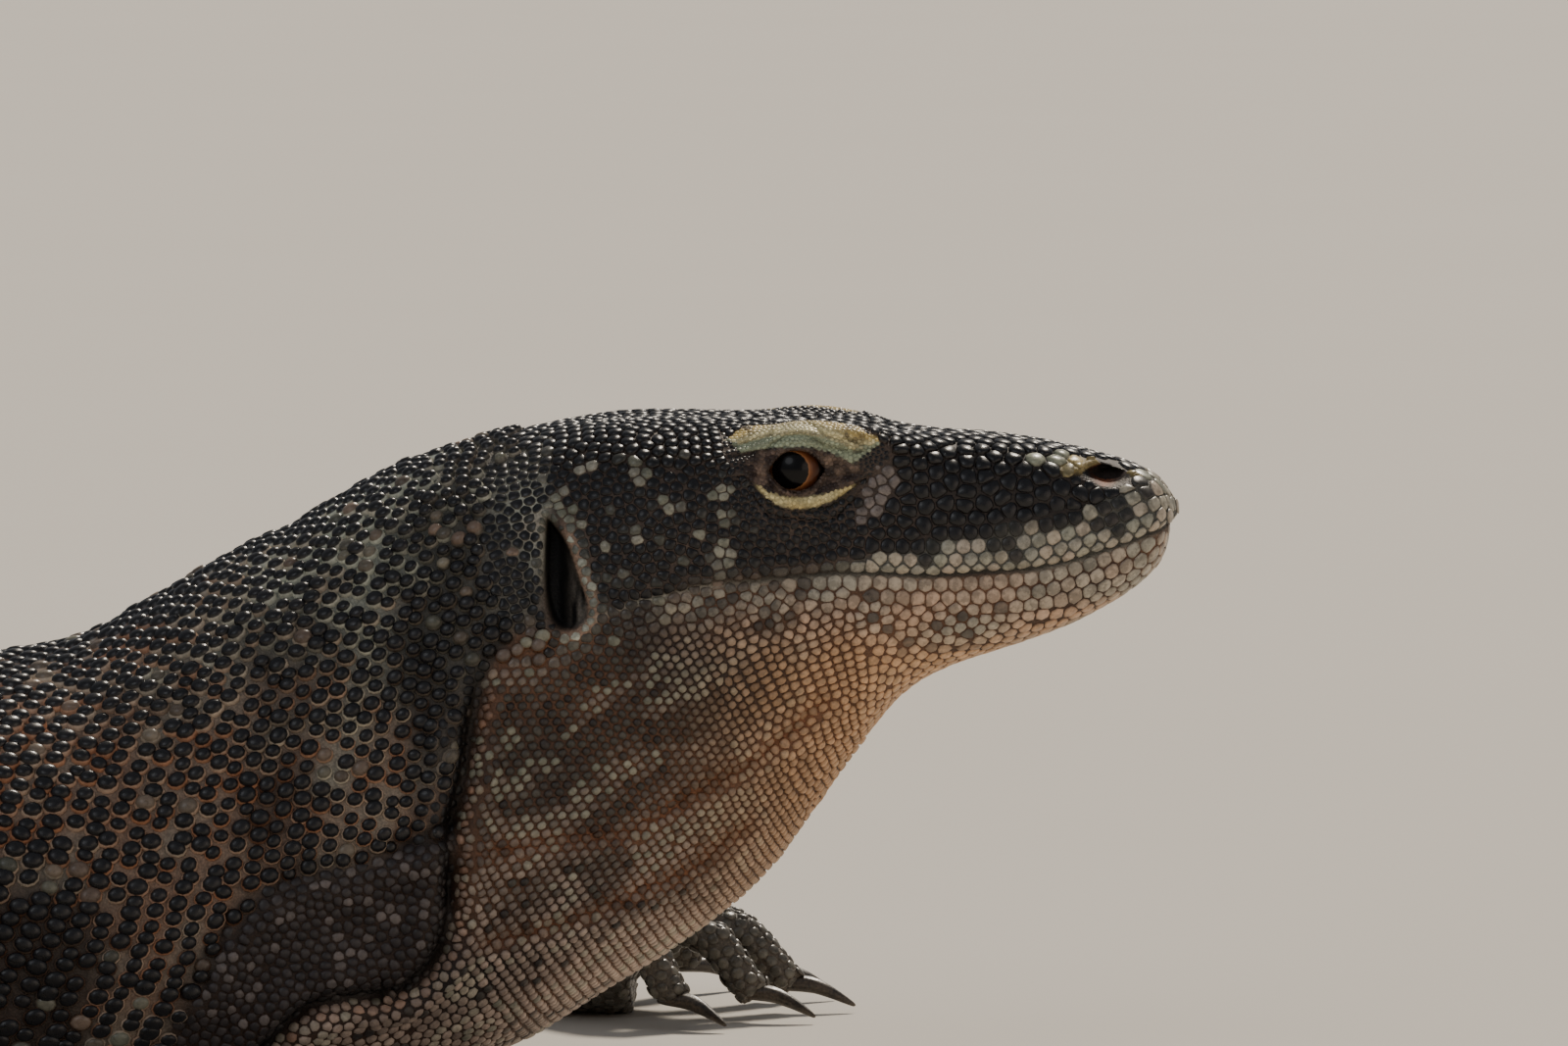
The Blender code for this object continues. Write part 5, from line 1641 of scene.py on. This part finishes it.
def studio_floor():
    """A matt painted floor with a faint mottle."""
    material, tree, shader, place = new_material("painted_floor", Roughness=0.8)
    mottle = node(tree, "ShaderNodeTexNoise", {"Scale": 3.0, "Detail": 4.0}, {"Vector": place})
    ramp = node(tree, "ShaderNodeValToRGB", links={"Fac": mottle.outputs["Fac"]})
    paint_stops(ramp, ((0.0, "#cfc9be"), (1.0, "#d2ccc2")))
    wire(tree, shader, Base_Color=ramp.outputs["Color"])
    return material


# ---------------------------------------------------------------- the pieces

def eyeball(name, side):
    """An eyeball whose cornea bulges a little in front of the pupil."""
    mesh = bmesh.new()
    bmesh.ops.create_uvsphere(mesh, u_segments=48, v_segments=32, radius=EYE_RADIUS - 0.0001)
    for vert in mesh.verts:
        facing = vert.co.normalized().dot(gaze(side))
        vert.co *= 1 + CORNEA_BULGE * float(smooth(0.72, 0.98, facing))
    bmesh.ops.translate(mesh, verts=mesh.verts, vec=(EYE[0], side * EYE[1], EYE[2]))
    return linked(name, smooth_mesh(name, mesh))


CLAW_REACH = 1.28       # how much longer a claw is than its solid, so that its root sits in the toe
CORNEA_BULGE = 0.035    # how far the cornea stands out, as a part of the eyeball's radius
FLOOR_HALF = 30.0


def lengthened(points, _):
    """A claw's points drawn out from its tip, so that its root sits in the toe."""
    tip = points[np.argmin(points[:, 2])]
    return tip + (points - tip) * CLAW_REACH


def claws_piece():
    """The claws, rounded from their solids and lengthened back into the toes."""
    points, faces = joined(CLAW_NODES, lengthened)
    data = bpy.data.meshes.new("claws")
    data.from_pydata(points.tolist(), [], faces)
    thing = linked("claws", data)
    modifier = thing.modifiers.new("round", "SUBSURF")
    modifier.levels = modifier.render_levels = 2
    made_plain(thing).shade_smooth()
    return thing


def finish_piece(thing, material, slot, nodes):
    """Gives a piece its material, sets it on the root body, and hides the nodes it stands for."""
    thing.data.materials.clear()
    thing.data.materials.append(material)
    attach(thing, "root")
    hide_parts(*nodes)


def plate_coat(points, normals, kinds, gaps, draws, colours, face, head):
    """The plates of the lids, head, jaw and throat."""
    lids = gaps < 0.0019
    right = points[:, 1] < 0
    throat = kinds == THROAT
    top = smooth(0.205, 0.216, points[:, 2]) * (points[:, 0] > HEAD_BASE)
    height = np.interp(gaps, (0.0010, 0.0022, 0.0034, 0.0050), (0.00016, 0.00034, 0.00060, 0.00075))
    height = height * (1 + 0.85 * top) * np.where(kinds == LIP, 0.72, 1.0) * np.where(lids, 0.45, 1.0)
    height = np.where(throat, 0.00100, height * (0.9 + 0.2 * draws[:, 0]))
    height = height * (1 - 0.45 * smooth(0.792, 0.799, points[:, 0]))
    groove = np.interp(gaps, (0.0010, 0.0030, 0.0050), (0.00004, 0.00008, 0.00009))
    groove = np.where(throat, 0.00016, groove)
    head_keratin = reptile_keratin("head_keratin", 0.31, 0.35, 0.16, 0.38)
    throat_keratin = reptile_keratin("throat_keratin", 0.46, 0.4, 0.20, 0.25)
    on_head = (head_keratin, "head_scales", ["head", "jaw_and_throat"])
    on_throat = (throat_keratin, "throat_scales", ["jaw_and_throat", "neck_front"])
    for name, chosen, sides, power, finish in (
            ("lid_granules", head & lids, 6, 6.0, on_head),
            ("head_scales_right", head & ~lids & right, 12, 10.0, on_head),
            ("head_scales_left", head & ~lids & ~right, 12, 10.0, on_head),
            ("throat_scales_right", face & ~head & right, 8, 6.0, on_throat),
            ("throat_scales_left", face & ~head & ~right, 8, 6.0, on_throat)):
        rows = np.flatnonzero(chosen)
        thing = plates(name, points, normals, gaps, rows, sides, power, height[rows], groove[rows], colours)
        finish_piece(thing, *finish)


def bead_coat(points, normals, kinds, gaps, draws, colours, rest):
    """The beads of the neck, trunk, tail and legs."""
    at = straightened(points)
    a, out = at[:, 0], np.abs(at[:, 1])
    right = points[:, 1] < 0
    # over the shoulders the neck's beads and the trunk's are mingled, so that no line shows between them
    neck = rest & (a + 0.15 * (draws[:, 2] - 0.5) > 0.34) & (out < 0.135)
    limb = rest & ~neck & ((kinds == FILL) & (out > 0.10))
    tail = rest & ~neck & ~limb & (a < VENT)
    trunk = rest & ~neck & ~limb & ~tail
    long = np.where(kinds == BODY, np.interp(a, (0.45, 0.58), (0.65, 0.61)), 0.58)
    wide = np.where(kinds == BODY, np.interp(a, (0.0, 0.35), (0.44, 0.51)), 0.55)
    back = smooth(0.0, 0.6, normals[:, 2])
    rise = np.where(neck, (0.0008 + 0.26 * gaps) * (1 + 0.40 * back), 0.0007 + 0.08 * gaps)
    rise = rise * (0.35 + 0.65 * smooth(0.004, 0.03, points[:, 2]))
    rise = mix(rise, 0.0004 + 0.06 * gaps, nearness(points, FOOT_NODES, 0.02))
    sizes = np.stack((long * gaps, wide * gaps, rise), axis=1)
    keratin = reptile_keratin("bead_keratin", 0.30, 0.35, 0.16, 0.15)
    setter = bead_setter()
    collared = bead_form("neck_bead", BEAD_PROFILE, 10)
    broad = bead_form("body_bead", BROAD_PROFILE, 7)
    for seed, (name, chosen, form, covered) in enumerate((
            ("neck_beads_right", neck & right, collared, BODY_NODES[2:4]),
            ("neck_beads_left", neck & ~right, collared, BODY_NODES[2:4]),
            ("trunk_beads_right", trunk & right, broad, BODY_NODES[4:7]),
            ("trunk_beads_left", trunk & ~right, broad, BODY_NODES[4:7]),
            ("tail_beads", tail, broad, BODY_NODES[7:]),
            ("leg_beads_left", limb & (points[:, 1] > 0), broad, LIMB_NODES[:6]),
            ("leg_beads_right", limb & (points[:, 1] <= 0), broad, LIMB_NODES[6:])), FIRST_SEED):
        rows = np.flatnonzero(chosen)
        own = (colours[0][rows], colours[1][rows])
        thing = beads(name, setter, form, points[rows], normals[rows], sizes[rows], own, keratin, seed)
        finish_piece(thing, keratin, "body_scales", covered)


def make_animal():
    """The skin, the coat over it, the eyes and the claws."""
    skin_thing = make_skin()
    skin = Skin(skin_thing)
    between = markings(skin.points, np.full((len(skin.points), 3), 0.5))[1]
    # painted shade: behind the head the skin between the scales is darkened, as if shadowed between the
    # raised beads
    deep = 0.45 + 0.55 * smooth(0.555, 0.600, skin.points[:, 0])
    set_tint(skin_thing.data, between * deep[:, None])
    finish_piece(skin_thing, soft_hide("loose_hide"), "body_scales", BODY_NODES + LIMB_NODES)

    points, normals, kinds, gaps = all_sites(skin)
    draws = np.random.default_rng(9).random((len(points), 3))
    scale, rim = markings(points, draws)
    colours = (scale * (0.86 + 0.28 * draws[:, 2:3]), rim)
    at = straightened(points)
    a, out = at[:, 0], np.abs(at[:, 1])
    loose = kinds == FILL
    face = (kinds == LIP) | (kinds == THROAT) | (loose & (a > 0.59) & (out < 0.09))
    face |= loose & (gaps < 0.0034) & (a > NECK_BASE) & (out < NECK_HALF)
    head = face & ((head_height(points) > -0.0115) | (kinds == LIP))
    plate_coat(points, normals, kinds, gaps, draws, colours, face, head)
    bead_coat(points, normals, kinds, gaps, draws, colours, ~face & (kinds != GAP))

    for name, side in SIDES:
        eye = eyeball(f"eyeball_{name}", side)
        finish_piece(eye, wet_eye(f"wet_eye_{name}", side), "eye", [f"eye_{name}"])
    finish_piece(claws_piece(), claw_horn(), "claw", CLAW_NODES)


def soft_sun(name, way, softness, strength, colour):
    """An even studio light from far off; softness is its apparent width in degrees."""
    data = bpy.data.lights.new(name, "SUN")
    data.angle, data.energy, data.color = radians(softness), strength, tuple(linear(colour))
    linked(name, data).rotation_euler = (-Vector(way)).to_track_quat("-Z", "Y").to_euler()


def make_studio():
    """A pale floor, a dim even sky and three soft lights."""
    mesh = bmesh.new()
    bmesh.ops.create_grid(mesh, x_segments=1, y_segments=1, size=FLOOR_HALF)
    data = smooth_mesh("floor", mesh)
    data.materials.append(studio_floor())
    floor = linked("floor", data)
    world = bpy.data.worlds.new("studio")
    world.use_nodes = True
    sky = world.node_tree.nodes["Background"].inputs
    sky["Color"].default_value = (*linear("#dfe3ea"), 1)
    sky["Strength"].default_value = 0.30
    bpy.context.scene.world = world
    soft_sun("key_behind", (0.25, 0.75, 0.85), 11, 3.5, "#fff3e2")
    soft_sun("fill_camera_side", (-0.5, -1.0, 0.75), 28, 0.34, "#eef1f6")
    soft_sun("low_warm_fill", (0.9, -0.8, 0.16), 40, 0.38, "#ffe8d2")


def make_camera():
    """A long lens on the animal's right, level with the shoulder and looking a little down at the head."""
    distance, lift = 4.5, radians(5.0)
    target = Vector((TIP - 0.1253, 0.0, 0.1887))
    data = bpy.data.cameras.new("camera")
    data.sensor_width, data.lens = 36.0, 324.0
    camera = linked("camera", data)
    camera.location = target + Vector((0, -distance * cos(lift), distance * sin(lift)))
    camera.rotation_euler = (target - camera.location).to_track_quat("-Z", "Y").to_euler()
    bpy.context.scene.camera = camera


make_camera()
make_studio()
make_animal()
